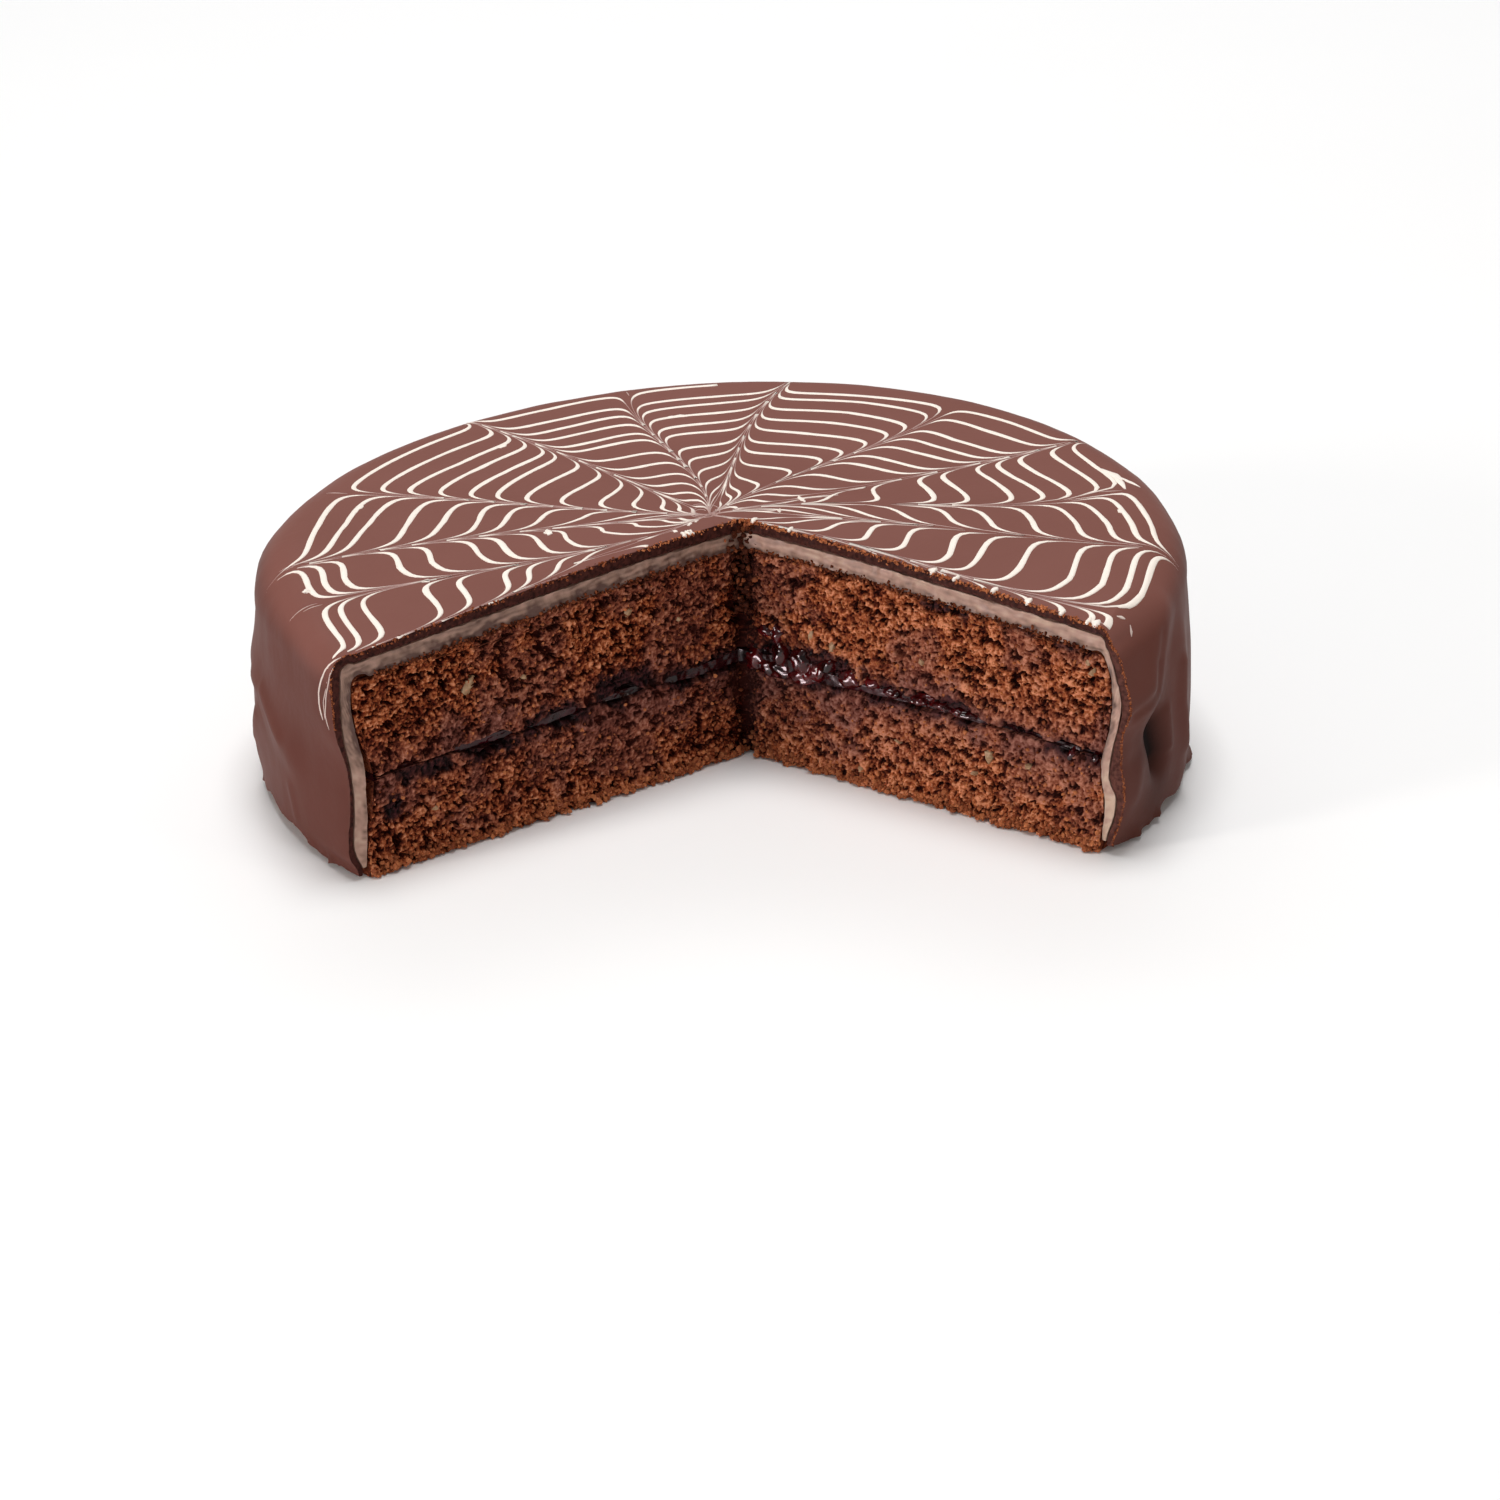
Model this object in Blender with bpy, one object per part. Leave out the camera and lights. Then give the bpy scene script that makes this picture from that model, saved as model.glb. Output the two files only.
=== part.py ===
"""Walnut torte with five of its sixteen slices cut out.

Two sponge layers with jam between them stand under a draped marzipan sheet and a chocolate coat,
whose top carries a feathered spider-web of pale icing.  Metres, +Z up.  The cake stands on z = 0,
the cut opens towards -Y, and the origin is the middle of the whole cake's footprint.
"""

import math

import bmesh
import bpy
from mathutils import Vector, noise

# Where the cake's own axis stands, so that the origin is the middle of the footprint
AXIS = Vector((0.0010, -0.0291, 0.0))

# The coat's outline in plan, about the cake's axis
SIDE_RADIUS = 0.1220
SIDE_SHIFT = 0.0008
FRONT_FLAT = 0.0235
FLAT_POWER = 1.3
FLAT_SKEW = 0.12
BACK_FLAT = 0.0015
TOP_RADIUS = 0.1055
SIDE_BULGE = 0.001
LEAN_SHARE = 0.17

# Heights, and how far the top has sunk towards the cut
HEIGHT = 0.0667
SINK_SLOPE = 0.15
SINK_START = 0.012
SINK_SOFTNESS = 0.008
BACK_TWIST = 0.2

# The layers, from the outside in
GAP = 0.0003
COAT_GAP = 0.0005
COAT_TOP_MIDDLE = 0.0032
COAT_TOP_RIM = 0.0021
COAT_SIDE = 0.0020
MARZIPAN_TOP = 0.0043
MARZIPAN_SIDE = 0.0034
EDGE_MIN = 0.0015
COAT_HEM = 0.0008
HEM_RAGGED = 0.0032
HEM_COVER = 0.25
HEM_WAVES = ((3.1, 0.6), (10.23, 0.4))
MARZIPAN_FOOT = 0.0028

# The jam between the sponges
JAM_HEIGHT = 0.0275
JAM_SINK = 0.2
JAM_THICK = 0.0019
JAM_POOL = 0.0024
JAM_POOL_AT = Vector((0.014, 0.000, 0.0))
JAM_POOL_SIZE = 0.020
JAM_WAVE = 0.0009
JAM_WAVE_SIZE = 0.022
JAM_LUMPS = 0.35
JAM_LUMP_SIZE = 0.012
JAM_BULGE = 0.0008

# The cut: its inner corner and the directions of its two faces, in degrees
CUT_CORNER = Vector((0.0050, 0.0022, 0.0))
LEFT_CUT = 214.1
RIGHT_CUT = -34.4
CUT_REACH = 0.30
CUT_LOW = -0.01
CUT_HIGH = 0.08
CRUMB_STEP = 0.0037
CRUMB_ZONE = 0.125
CRUMB_RELIEF = 0.0008
CRUMB_SIZE = 0.0048
FOOT_FLARE = 0.0012
FOOT_HEIGHT = 0.007
FOOT_ROUGHER = 0.8

# The web: rings piped about WEB_CENTRE, then dragged along spokes that meet at HUB
HUB = Vector((-0.0030, 0.0084, 0.0))
WEB_CENTRE = Vector((0.0012, -0.0035, 0.0))
WEB_RADIUS = 0.1035
SPOKES = (-31, -12, 2, 23, 46, 80, 105, 130, 167, 190, 207, 220, 243, 263, 282, 301)
RINGS = (0.165, 0.240, 0.310, 0.390, 0.490, 0.600, 0.665, 0.745, 0.825, 0.905, 1.0)
RING_WOBBLE = 0.012
WOBBLE_WAVES = 1.6
WOBBLE_STEP = Vector((0.0, 0.0, 3.7))
LINE_HALF_WIDTH = 0.0010
LINE_LIFT = 0.00045
DRAG_LENGTH = 0.015
DRAG_SHARE = 0.45
DRAG_WIDTH = 0.0048
DRAG_FADE = 0.034

# Ridges of the coat's side: from (bearing, height) to (bearing, height), then how proud and how wide
FOLDS = (
    (190, 0.038, 206, 0.026, 0.0012, 0.006),
    (195, 0.029, 189, 0.012, 0.0011, 0.006),
    (336, 0.057, 330, 0.038, 0.0016, 0.006),
    (341, 0.044, 343, 0.008, 0.0015, 0.006),
    (326, 0.026, 326, 0.010, 0.0010, 0.006),
)
BACK_FOLDS = 9
BACK_FOLDS_FROM = 12
BACK_FOLDS_SWEEP = 168
BACK_FOLD_SHIFT = 5
BACK_FOLD_SLANT = 9
BACK_FOLD_TOP = 0.052
BACK_FOLD_FOOT = 0.006
BACK_FOLD_LIFT = 0.0012
BACK_FOLD_WIDTH = 0.008

TOP_STATIONS = (0.022, 0.044, 0.066, 0.088)
EDGE_STEPS = 3
SIDE_STEPS = 2
COAT_OUTER_SHARES = (0.0, 0.08, 0.17, 0.26, 0.35, 0.47, 0.63, 0.82, 1.0)
FINE_STEP = 7.5
COARSE_STEP = 8.2
SPOKE_STEPS = (1.3, 4.0)
REFINEMENTS = 8
SHARP_ANGLE = math.radians(35)

MATERIALS = {
    "sponge": ((0.090, 0.030, 0.012), 0.85),
    "jam": ((0.030, 0.002, 0.004), 0.12),
    "marzipan": ((0.260, 0.215, 0.150), 0.65),
    "chocolate": ((0.085, 0.030, 0.024), 0.42),
}


def clear_scene():
    for thing in list(bpy.data.objects):
        bpy.data.objects.remove(thing, do_unlink=True)


def direction(bearing):
    return Vector((math.cos(bearing), math.sin(bearing), 0.0))


def reach_to_circle(bearing, centre, radius):
    """Distance from the hub to a circle, along a bearing."""
    offset = HUB - centre
    along = offset.dot(direction(bearing))
    return -along + math.sqrt(along ** 2 - offset.length_squared + radius ** 2)


def outline_radius(angle):
    """The coat's radius at its foot, about the cake's axis: round, flatter towards the cut."""
    front = FRONT_FLAT * max(0.0, -math.sin(angle)) ** FLAT_POWER * (1.0 - FLAT_SKEW * math.cos(angle))
    back = BACK_FLAT * max(0.0, math.sin(angle)) ** 2
    return SIDE_RADIUS - SIDE_SHIFT * math.cos(angle) - front - back


def lean(bearing):
    """How far the side leans in from its foot to its shoulder."""
    return LEAN_SHARE * (outline_reach(bearing) - reach_to_circle(bearing, Vector(), TOP_RADIUS))


def outline_reach(bearing):
    """Distance from the hub to the foot of the coat's side, along a bearing."""
    reach = SIDE_RADIUS
    for _ in range(REFINEMENTS):
        point = HUB + direction(bearing) * reach
        reach += outline_radius(math.atan2(point.y, point.x)) - point.length
    return reach


def top_height(point):
    """Height of the coat's top, which sinks towards the cut and leans a little at the back."""
    sink = math.log1p(math.exp((-point.y - SINK_START) / SINK_SOFTNESS))
    twist = BACK_TWIST * point.x * max(0.0, point.y)
    return HEIGHT + twist - SINK_SLOPE * SINK_SOFTNESS * sink


def jam_surfaces(point):
    """Heights of the jam's underside and top."""
    sink = HEIGHT - top_height(point)
    wave = noise.noise(Vector((point.x, point.y, 0.0)) / JAM_WAVE_SIZE)
    middle = JAM_HEIGHT - JAM_SINK * sink + JAM_WAVE * wave
    away = (point - JAM_POOL_AT).length / JAM_POOL_SIZE
    lumps = 1.0 + JAM_LUMPS * noise.noise(Vector((point.x, point.y, 0.05)) / JAM_LUMP_SIZE)
    half = 0.5 * (JAM_THICK + JAM_POOL * math.exp(-away ** 2)) * lumps
    return middle - half, middle + half


def fine_bearings():
    """Bearings of the coat's sections: close to each spoke, then even between two spokes."""
    bearings = []
    spokes = list(SPOKES) + [SPOKES[0] + 360]
    for start, end in zip(spokes, spokes[1:]):
        near = [start + step for step in (0.0,) + SPOKE_STEPS]
        far = [end - step for step in reversed(SPOKE_STEPS)]
        count = max(1, round((far[0] - near[-1]) / FINE_STEP))
        between = [near[-1] + (far[0] - near[-1]) * k / count for k in range(1, count)]
        bearings += near + between + far
    return [math.radians(angle) for angle in bearings]


def coarse_bearings():
    count = round(360 / COARSE_STEP)
    return [2 * math.pi * k / count for k in range(count)]


def back_folds():
    """Soft folds of the side that the cut's view hides, evenly spread and each a little different."""
    folds = []
    for k in range(BACK_FOLDS):
        shift = BACK_FOLD_SHIFT * noise.noise(Vector((k * 1.7, 0.3, 0.9)))
        slant = BACK_FOLD_SLANT * noise.noise(Vector((k * 2.3, 4.1, 0.2)))
        bearing = BACK_FOLDS_FROM + BACK_FOLDS_SWEEP * k / (BACK_FOLDS - 1) + shift
        foot = BACK_FOLD_FOOT * (1 + k % 3)
        folds.append((bearing, BACK_FOLD_TOP, bearing + slant, foot, BACK_FOLD_LIFT, BACK_FOLD_WIDTH))
    return tuple(folds)


def fold_lift(bearing, height, folds):
    """How proud the coat's side stands of its plain shape."""
    place = Vector((math.degrees(bearing) % 360, height))
    scale = math.radians(1.0) * SIDE_RADIUS
    lift = 0.0
    for start_bearing, start_height, end_bearing, end_height, proud, width in folds:
        turn = (place.x - start_bearing + 180) % 360 - 180
        here = Vector((turn * scale, place.y - start_height))
        run = Vector(((end_bearing - start_bearing) * scale, end_height - start_height))
        share = min(1.0, max(0.0, here.dot(run) / run.length_squared))
        away = (here - run * share).length
        lift = max(lift, proud * math.exp(-(away / width) ** 2))
    return lift


def hem_height(bearing):
    """Height of the coat's ragged lower edge."""
    ragged = sum(share * noise.noise(direction(bearing) * waves) for waves, share in HEM_WAVES)
    return COAT_HEM + HEM_RAGGED * max(0.0, ragged + HEM_COVER)


def side_swell(bearing, height):
    """How far the side stands out at this height, past its shoulder."""
    share = min(1.0, max(0.0, height / (HEIGHT - lean(bearing) / LEAN_SHARE)))
    return lean(bearing) * (1.0 - share) + SIDE_BULGE * math.sin(math.pi * share)


def drag(bearing, travel):
    """How far a tool drawn along the spokes, out and in by turns, has moved a ring at this place."""
    shift = 0.0
    for k, spoke in enumerate(SPOKES):
        turn = bearing - math.radians(spoke)
        if math.cos(turn) <= 0:
            continue
        sign = -1 if k % 2 == 0 else 1
        shift += sign * math.exp(-travel * abs(math.sin(turn)) / DRAG_WIDTH)
    return shift * min(DRAG_LENGTH, DRAG_SHARE * travel)


class Skin:
    """One face of a layer, which runs across the top, over the edge and down the side."""

    def __init__(self, top_middle, top_rim, side, foot):
        self.top_middle = top_middle
        self.top_rim = top_rim
        self.side = side
        self.foot = foot

    def measure(self, bearing):
        """Reach of the side's shoulder, radius of the edge, and end of the flat top."""
        shoulder = outline_reach(bearing) - lean(bearing)
        edge = shoulder - reach_to_circle(bearing, Vector(), TOP_RADIUS)
        edge = max(EDGE_MIN, edge - 0.5 * (self.top_rim + self.side))
        reach = shoulder - self.side
        return reach, edge, reach - edge

    def top(self, point):
        share = min(1.0, point.length / TOP_RADIUS)
        inset = self.top_middle + (self.top_rim - self.top_middle) * share
        return top_height(point) - inset

    def length(self, bearing):
        """Travel from the hub to the foot."""
        reach, edge, flat = self.measure(bearing)
        shoulder = self.top(HUB + direction(bearing) * reach) - edge
        return flat + edge * math.pi / 2 + shoulder - self.foot(bearing)

    def point(self, bearing, travel, lift=0.0, folds=()):
        reach, edge, flat = self.measure(bearing)
        out = direction(bearing)
        turn = min(math.pi / 2, max(0.0, (travel - flat) / edge))
        down = max(0.0, travel - flat - edge * math.pi / 2)
        spot = HUB + out * (min(travel, flat) + edge * math.sin(turn))
        height = self.top(spot) - edge * (1.0 - math.cos(turn)) - down
        bulge = side_swell(bearing, height) * math.sin(turn)
        lift += fold_lift(bearing, height, folds) * math.sin(turn) if folds else 0.0
        spot += out * (bulge + lift * math.sin(turn))
        spot.z = height + lift * math.cos(turn)
        return spot

    def rows(self, bearings, folds=()):
        """Plain rows of points from the hub to the foot."""
        rows = [[self.point(0.0, 0.0)]]
        for travel in TOP_STATIONS:
            rows.append([self.point(b, travel) for b in bearings])
        for step in range(EDGE_STEPS + 1):
            row = []
            for b in bearings:
                _, edge, flat = self.measure(b)
                row.append(self.point(b, flat + edge * math.pi / 2 * step / EDGE_STEPS, 0.0, folds))
            rows.append(row)
        for step in range(1, SIDE_STEPS + 1):
            row = []
            for b in bearings:
                _, edge, flat = self.measure(b)
                start = flat + edge * math.pi / 2
                travel = start + (self.length(b) - start) * step / SIDE_STEPS
                row.append(self.point(b, travel, 0.0, folds))
            rows.append(row)
        return rows


def solid(name, rows, material):
    """Closed body from rows of points: the first and last row are single points."""
    mesh = bpy.data.meshes.new(name)
    body = bmesh.new()
    made = [[body.verts.new(point) for point in row] for row in rows]
    for inner, outer in zip(made, made[1:]):
        count = max(len(inner), len(outer))
        for k in range(count):
            corners = [inner[k % len(inner)], outer[k % len(outer)]]
            corners += [outer[(k + 1) % len(outer)], inner[(k + 1) % len(inner)]]
            body.faces.new(list(dict.fromkeys(corners)))
    bmesh.ops.triangulate(body, faces=body.faces)
    bmesh.ops.recalc_face_normals(body, faces=body.faces)
    body.to_mesh(mesh)
    body.free()
    return place(name, mesh, material)


def place(name, mesh, material=None):
    thing = bpy.data.objects.new(name, mesh)
    thing.location = AXIS
    bpy.context.collection.objects.link(thing)
    if material is not None:
        mesh.materials.append(material)
        mesh.shade_smooth()
        mesh.set_sharp_from_angle(angle=SHARP_ANGLE)
    return thing


def make_material(name):
    colour, roughness = MATERIALS[name]
    material = bpy.data.materials.new(name)
    material.use_nodes = True
    shader = material.node_tree.nodes["Principled BSDF"]
    shader.inputs["Base Color"].default_value = (*colour, 1.0)
    shader.inputs["Roughness"].default_value = roughness
    return material


def crumb(along, height, seed):
    """Relief of a torn crumb face: lumps and pits, roughest at the foot."""
    place_in_face = Vector((along, height, seed))
    lumps = noise.noise(place_in_face / CRUMB_SIZE) + 0.5 * noise.noise(place_in_face * 2 / CRUMB_SIZE)
    foot = math.exp(-(max(0.0, height) / FOOT_HEIGHT) ** 2)
    return CRUMB_RELIEF * lumps * (1.0 + FOOT_ROUGHER * foot) + FOOT_FLARE * foot


def cutter(name, corner, rough):
    """Wedge that takes the five slices out; with rough faces it tears the crumb."""
    steps = round(CRUMB_ZONE / CRUMB_STEP) if rough else 1
    zone = CRUMB_ZONE if rough else CUT_REACH
    levels = round((CUT_HIGH - CUT_LOW) / CRUMB_STEP) if rough else 1
    columns = []
    for angle, side in ((LEFT_CUT, 1), (RIGHT_CUT, -1)):
        out = direction(math.radians(angle))
        across = Vector((-out.y, out.x, 0.0)) * side
        face = [(out * (zone * k / steps), across, zone * k / steps, side) for k in range(steps + 1)]
        if rough:
            face.append((out * CUT_REACH, across, None, side))
        columns.append(face)
    path = list(reversed(columns[0])) + columns[1][1:]
    mesh = bpy.data.meshes.new(name)
    body = bmesh.new()
    grid = []
    for spot, across, along, side in path:
        column = []
        for k in range(levels + 1):
            height = CUT_LOW + (CUT_HIGH - CUT_LOW) * k / levels
            push = crumb(along, height, side) if rough and along else 0.0
            point = corner + spot + across * push
            column.append(body.verts.new((point.x, point.y, height)))
        grid.append(column)
    for left, right in zip(grid, grid[1:] + grid[:1]):
        for k in range(levels):
            body.faces.new((left[k], left[k + 1], right[k + 1], right[k]))
    body.faces.new([column[0] for column in grid])
    body.faces.new([column[-1] for column in reversed(grid)])
    bmesh.ops.triangulate(body, faces=body.faces)
    bmesh.ops.recalc_face_normals(body, faces=body.faces)
    body.to_mesh(mesh)
    body.free()
    thing = place(name, mesh)
    thing.hide_render = True
    thing.display_type = "WIRE"
    return thing


def cut(thing, tool):
    """Takes the tool's wedge out of a whole layer."""
    modifier = thing.modifiers.new("cut", "BOOLEAN")
    modifier.operation = "DIFFERENCE"
    modifier.solver = "EXACT"
    modifier.object = tool


def web_rows(skin, bearings, folds):
    """Rows of the coat's outer face: each ring of icing is a low ridge that follows the drags."""
    rows = [[skin.point(0.0, 0.0)]]
    for number, share in enumerate(RINGS):
        for side, lift in ((-1, 0.0), (0, LINE_LIFT), (1, 0.0)):
            row = []
            for b in bearings:
                wobble = RING_WOBBLE * noise.noise(direction(b) * WOBBLE_WAVES + WOBBLE_STEP * number)
                web = reach_to_circle(b, WEB_CENTRE, WEB_RADIUS)
                travel = web * (share + wobble * share) + side * LINE_HALF_WIDTH
                row.append(skin.point(b, travel + drag(b, travel), lift))
            rows.append(row)
    for share in COAT_OUTER_SHARES:
        row = []
        for b in bearings:
            start = reach_to_circle(b, WEB_CENTRE, WEB_RADIUS) * (1 + RING_WOBBLE) + 2 * LINE_HALF_WIDTH
            past = (skin.length(b) - start) * share
            fade = max(0.0, 1.0 - past / DRAG_FADE)
            row.append(skin.point(b, start + past + drag(b, start) * fade, 0.0, folds))
        rows.append(row)
    return rows


def make_coat(material, wedge):
    folds = FOLDS + back_folds()
    bearings = fine_bearings()
    outer = Skin(0.0, 0.0, 0.0, hem_height)
    inner = Skin(COAT_TOP_MIDDLE, COAT_TOP_RIM, COAT_SIDE, hem_height)
    rows = web_rows(outer, bearings, folds) + list(reversed(inner.rows(bearings, folds)))
    cut(solid("chocolate_coat", rows, material), wedge)


def make_marzipan(material, wedge):
    bearings = coarse_bearings()
    middle = COAT_TOP_MIDDLE + COAT_GAP
    rim = COAT_TOP_RIM + COAT_GAP
    side = COAT_SIDE + COAT_GAP
    outer = Skin(middle, rim, side, lambda b: MARZIPAN_FOOT)
    inner = Skin(middle + MARZIPAN_TOP, rim + MARZIPAN_TOP, side + MARZIPAN_SIDE, lambda b: MARZIPAN_FOOT)
    rows = outer.rows(bearings) + list(reversed(inner.rows(bearings)))
    cut(solid("marzipan_cover", rows, material), wedge)


def sponge_skin(foot):
    inset = COAT_GAP + MARZIPAN_TOP + GAP
    return Skin(COAT_TOP_MIDDLE + inset, COAT_TOP_RIM + inset, sponge_side(), foot)


def sponge_side():
    return COAT_SIDE + COAT_GAP + MARZIPAN_SIDE + GAP


def sponge_reach(bearing, height):
    """Distance from the hub to the sponge's side at a height that the function gives."""
    shoulder = outline_reach(bearing) - lean(bearing) - sponge_side()
    level = height(HUB + direction(bearing) * shoulder)
    return shoulder + side_swell(bearing, level)


def level_rows(bearings, height):
    """Rows from the hub to the sponge's side, at a height that the function gives."""
    rows = [[HUB + Vector((0.0, 0.0, height(HUB)))]]
    for travel in TOP_STATIONS + (None,):
        row = []
        for b in bearings:
            spot = HUB + direction(b) * (travel or sponge_reach(b, height))
            row.append(spot + Vector((0.0, 0.0, height(spot))))
        rows.append(row)
    return rows


def make_sponges(material, wedge):
    bearings = coarse_bearings()

    def under_jam(spot):
        return jam_surfaces(spot)[0] - GAP

    def over_jam(spot):
        return jam_surfaces(spot)[1] + GAP

    def foot_over_jam(bearing):
        return over_jam(HUB + direction(bearing) * sponge_reach(bearing, over_jam))

    lower = level_rows(bearings, under_jam) + list(reversed(level_rows(bearings, lambda spot: 0.0)))
    cut(solid("sponge_bottom", lower, material), wedge)
    upper = sponge_skin(foot_over_jam).rows(bearings)[:-1] + list(reversed(level_rows(bearings, over_jam)))
    cut(solid("sponge_top", upper, material), wedge)


def make_jam(material, wedge):
    bearings = coarse_bearings()
    top = level_rows(bearings, lambda spot: jam_surfaces(spot)[1])
    bottom = level_rows(bearings, lambda spot: jam_surfaces(spot)[0])
    cut(solid("jam_filling", top + list(reversed(bottom)), material), wedge)


def build():
    clear_scene()
    materials = {name: make_material(name) for name in MATERIALS}
    clean_wedge = cutter("clean_wedge", CUT_CORNER, False)
    torn_wedge = cutter("torn_wedge", CUT_CORNER, True)
    jam_wedge = cutter("jam_wedge", CUT_CORNER - Vector((0.0, JAM_BULGE, 0.0)), False)
    make_sponges(materials["sponge"], torn_wedge)
    make_jam(materials["jam"], jam_wedge)
    make_marzipan(materials["marzipan"], clean_wedge)
    make_coat(materials["chocolate"], clean_wedge)


build()
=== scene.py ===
"""Looks of the walnut torte: poured chocolate coat, feathered icing web, marzipan, torn crumb and jam.

Every piece is made round the same named form as the solids, in metres, and rides on the one body.
A place on the coat is given by its bearing from the hub and the travel across the top and down the
side; a place on a cut face by the distance s from the cut's inner corner and the height.
"""

import math
import random
from functools import lru_cache

import bmesh
import bpy
import numpy as np
from mathutils import Euler, Matrix, Vector, noise


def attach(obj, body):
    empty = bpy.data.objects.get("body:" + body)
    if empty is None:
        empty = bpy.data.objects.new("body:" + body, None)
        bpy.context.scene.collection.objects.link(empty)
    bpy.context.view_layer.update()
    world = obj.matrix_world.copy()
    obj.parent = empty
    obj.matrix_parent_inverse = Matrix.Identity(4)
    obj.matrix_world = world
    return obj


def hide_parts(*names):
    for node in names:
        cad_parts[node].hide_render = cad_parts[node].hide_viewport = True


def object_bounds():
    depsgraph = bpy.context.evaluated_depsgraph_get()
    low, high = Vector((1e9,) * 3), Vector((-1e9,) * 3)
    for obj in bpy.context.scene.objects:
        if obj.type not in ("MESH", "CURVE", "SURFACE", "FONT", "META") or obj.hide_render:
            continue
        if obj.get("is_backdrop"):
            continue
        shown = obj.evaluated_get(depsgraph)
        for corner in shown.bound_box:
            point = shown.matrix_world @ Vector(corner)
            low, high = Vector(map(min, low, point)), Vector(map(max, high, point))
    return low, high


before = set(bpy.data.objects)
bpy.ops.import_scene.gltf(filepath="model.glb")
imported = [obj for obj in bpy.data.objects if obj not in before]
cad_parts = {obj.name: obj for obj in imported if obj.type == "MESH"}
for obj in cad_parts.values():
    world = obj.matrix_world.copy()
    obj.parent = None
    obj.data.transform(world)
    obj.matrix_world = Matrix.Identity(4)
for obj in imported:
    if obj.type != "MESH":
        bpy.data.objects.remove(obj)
cad_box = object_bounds()

MM = 0.001
UP = Vector((0.0, 0.0, 1.0))
# The cake's axis in the frame: every place below is measured from it
AXIS = Vector((0.0010, -0.0291, 0.0))
# What the coat's bearings and travels are measured from
HUB = Vector((-0.0030, 0.0084, 0.0))

# The coat's form, about the cake's axis
SIDE_RADIUS = 0.1220
SIDE_SHIFT = 0.0008
FRONT_FLAT = 0.0235
FLAT_POWER = 1.3
FLAT_SKEW = 0.12
BACK_FLAT = 0.0015
TOP_RADIUS = 0.1055
SIDE_BULGE = 0.001
LEAN_SHARE = 0.17
HEIGHT = 0.0667
SINK_SLOPE = 0.15
SINK_START = 0.012
SINK_SOFTNESS = 0.008
BACK_TWIST = 0.2
OUTLINE_ROUNDS = 8
CROSSING_ROUNDS = 5
JAM_SINK = 0.2

# The layers, from the outside in
GAP = 0.0003
COAT_GAP = 0.0005
COAT_TOP_MIDDLE = 0.0032
COAT_TOP_RIM = 0.0021
COAT_SIDE = 0.0020
MARZIPAN_TOP = 0.0043
MARZIPAN_SIDE = 0.0034
EDGE_MIN = 0.0015
COAT_HEM = 0.0008
HEM_RAGGED = 0.0032
HEM_LEAST = 0.0002
HEM_MORE = 0.25
# Waves along the hem, with their width as a share of the cake's radius
HEM_SHAPE = ((0.6, 1 / 3.1), (0.4, 1 / 10.23))
HEM_FINE = ((0.0005, 1 / 31.0), (0.0003, 1 / 83.0))
MARZIPAN_FOOT = 0.0028
JAM_HEIGHT = 0.0275
JAM_THICK = 0.0019
JAM_POOL = 0.0024
JAM_POOL_AT = Vector((0.014, 0.000, 0.0))
JAM_POOL_SIZE = 0.020
# Waves are pairs of how far and how wide
JAM_WAVE = ((0.0009, 0.022),)
JAM_LUMPS = ((0.35, 0.012),)
JAM_LUMP_FIELD = 0.05
SIDE_RIPPLE = ((0.0004, 0.019), (0.00015, 0.007))
RIPPLE_STRETCH = 0.6
# Fields set the noises apart that would be alike otherwise
DROP_FIELD = 9.0
WET_FIELD = 3.0
SOAK_FIELD = 5.0
CRUMB_FIELD = 11.0
CRUMB_FIELD_SIDE = 7.0
BEND_FIELD = 5.0
SPECK_FIELD = 9.0
JAM_FIELD = 20.0
SMEAR_FIELD = 7.0
EDGE_FIELD = 3.0

# The cut
CUT_CORNER = Vector((0.0050, 0.0022, 0.0))
LEFT_ANGLE = 214.1
RIGHT_ANGLE = -34.4

# The web: bearings of the tool's strokes at three distances from the web's hub, in and out by turns
WEB_HUB = Vector((-0.0030, 0.0053, 0.0))
SPOKE_AT = (0.025, 0.065, 0.105)
SPOKES = (
    (-27, -30.8, -30),
    (-6.3, -11.6, -12.9),
    (13, 1.7, 4.6),
    (23.5, 22.8, 24),
    (51, 46, 47.8),
    (79.5, 80.5, 76.8),
    (98, 104.8, 103.8),
    (130.5, 130.3, 131.3),
    (170, 166.9, 167),
    (188.8, 190.3, 193.3),
    (217, 207, 204.2),
    (223, 220, 217.7),
)
# For bearings between the strokes, how far each icing line lies from the web's hub, in mm
LINE_REACH = {
    -45: (10, 18, 30, 41, 52, 65, 72, 80, 88, 96, 105, 109, 130),
    -24: (13, 21, 32, 43, 53, 65, 72, 83, 96, 104, 110, 114, 130),
    -7: (17, 25, 32, 40, 50, 61, 71, 82, 93, 101, 107, 112, 130),
    14: (10, 16, 24, 32, 44, 58, 65, 76, 82, 89, 99, 105, 130),
    36: (8, 15, 21, 29, 40, 52, 59, 68, 75, 82, 93, 102, 120),
    62: (8, 14, 18, 25, 36, 46, 54, 63, 73, 82, 91, 96, 110),
    90: (6, 11, 17, 25, 33, 42, 50, 61, 68, 76, 84, 90, 100),
    118: (6, 11, 17, 24, 31, 40, 49, 60, 65, 73, 80, 87, 97),
    148: (5, 9, 14, 22, 30, 40, 50, 59, 65, 73, 80, 89, 98),
    180: (5, 9, 14, 22, 32, 43, 52, 59, 68, 77, 87, 93, 100),
    199: (7, 11, 19, 28, 38, 45, 54, 61, 73, 81, 95, 100, 104),
    212: (7, 10, 14, 23, 38, 46, 54, 60, 71, 79, 95, 101, 105),
    235: (7, 10, 14, 23, 38, 46, 54, 60, 71, 79, 95, 101, 105),
}
# The bearing whose reaches set how closely the lines are sampled
USUAL_BEARING = 118
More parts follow.
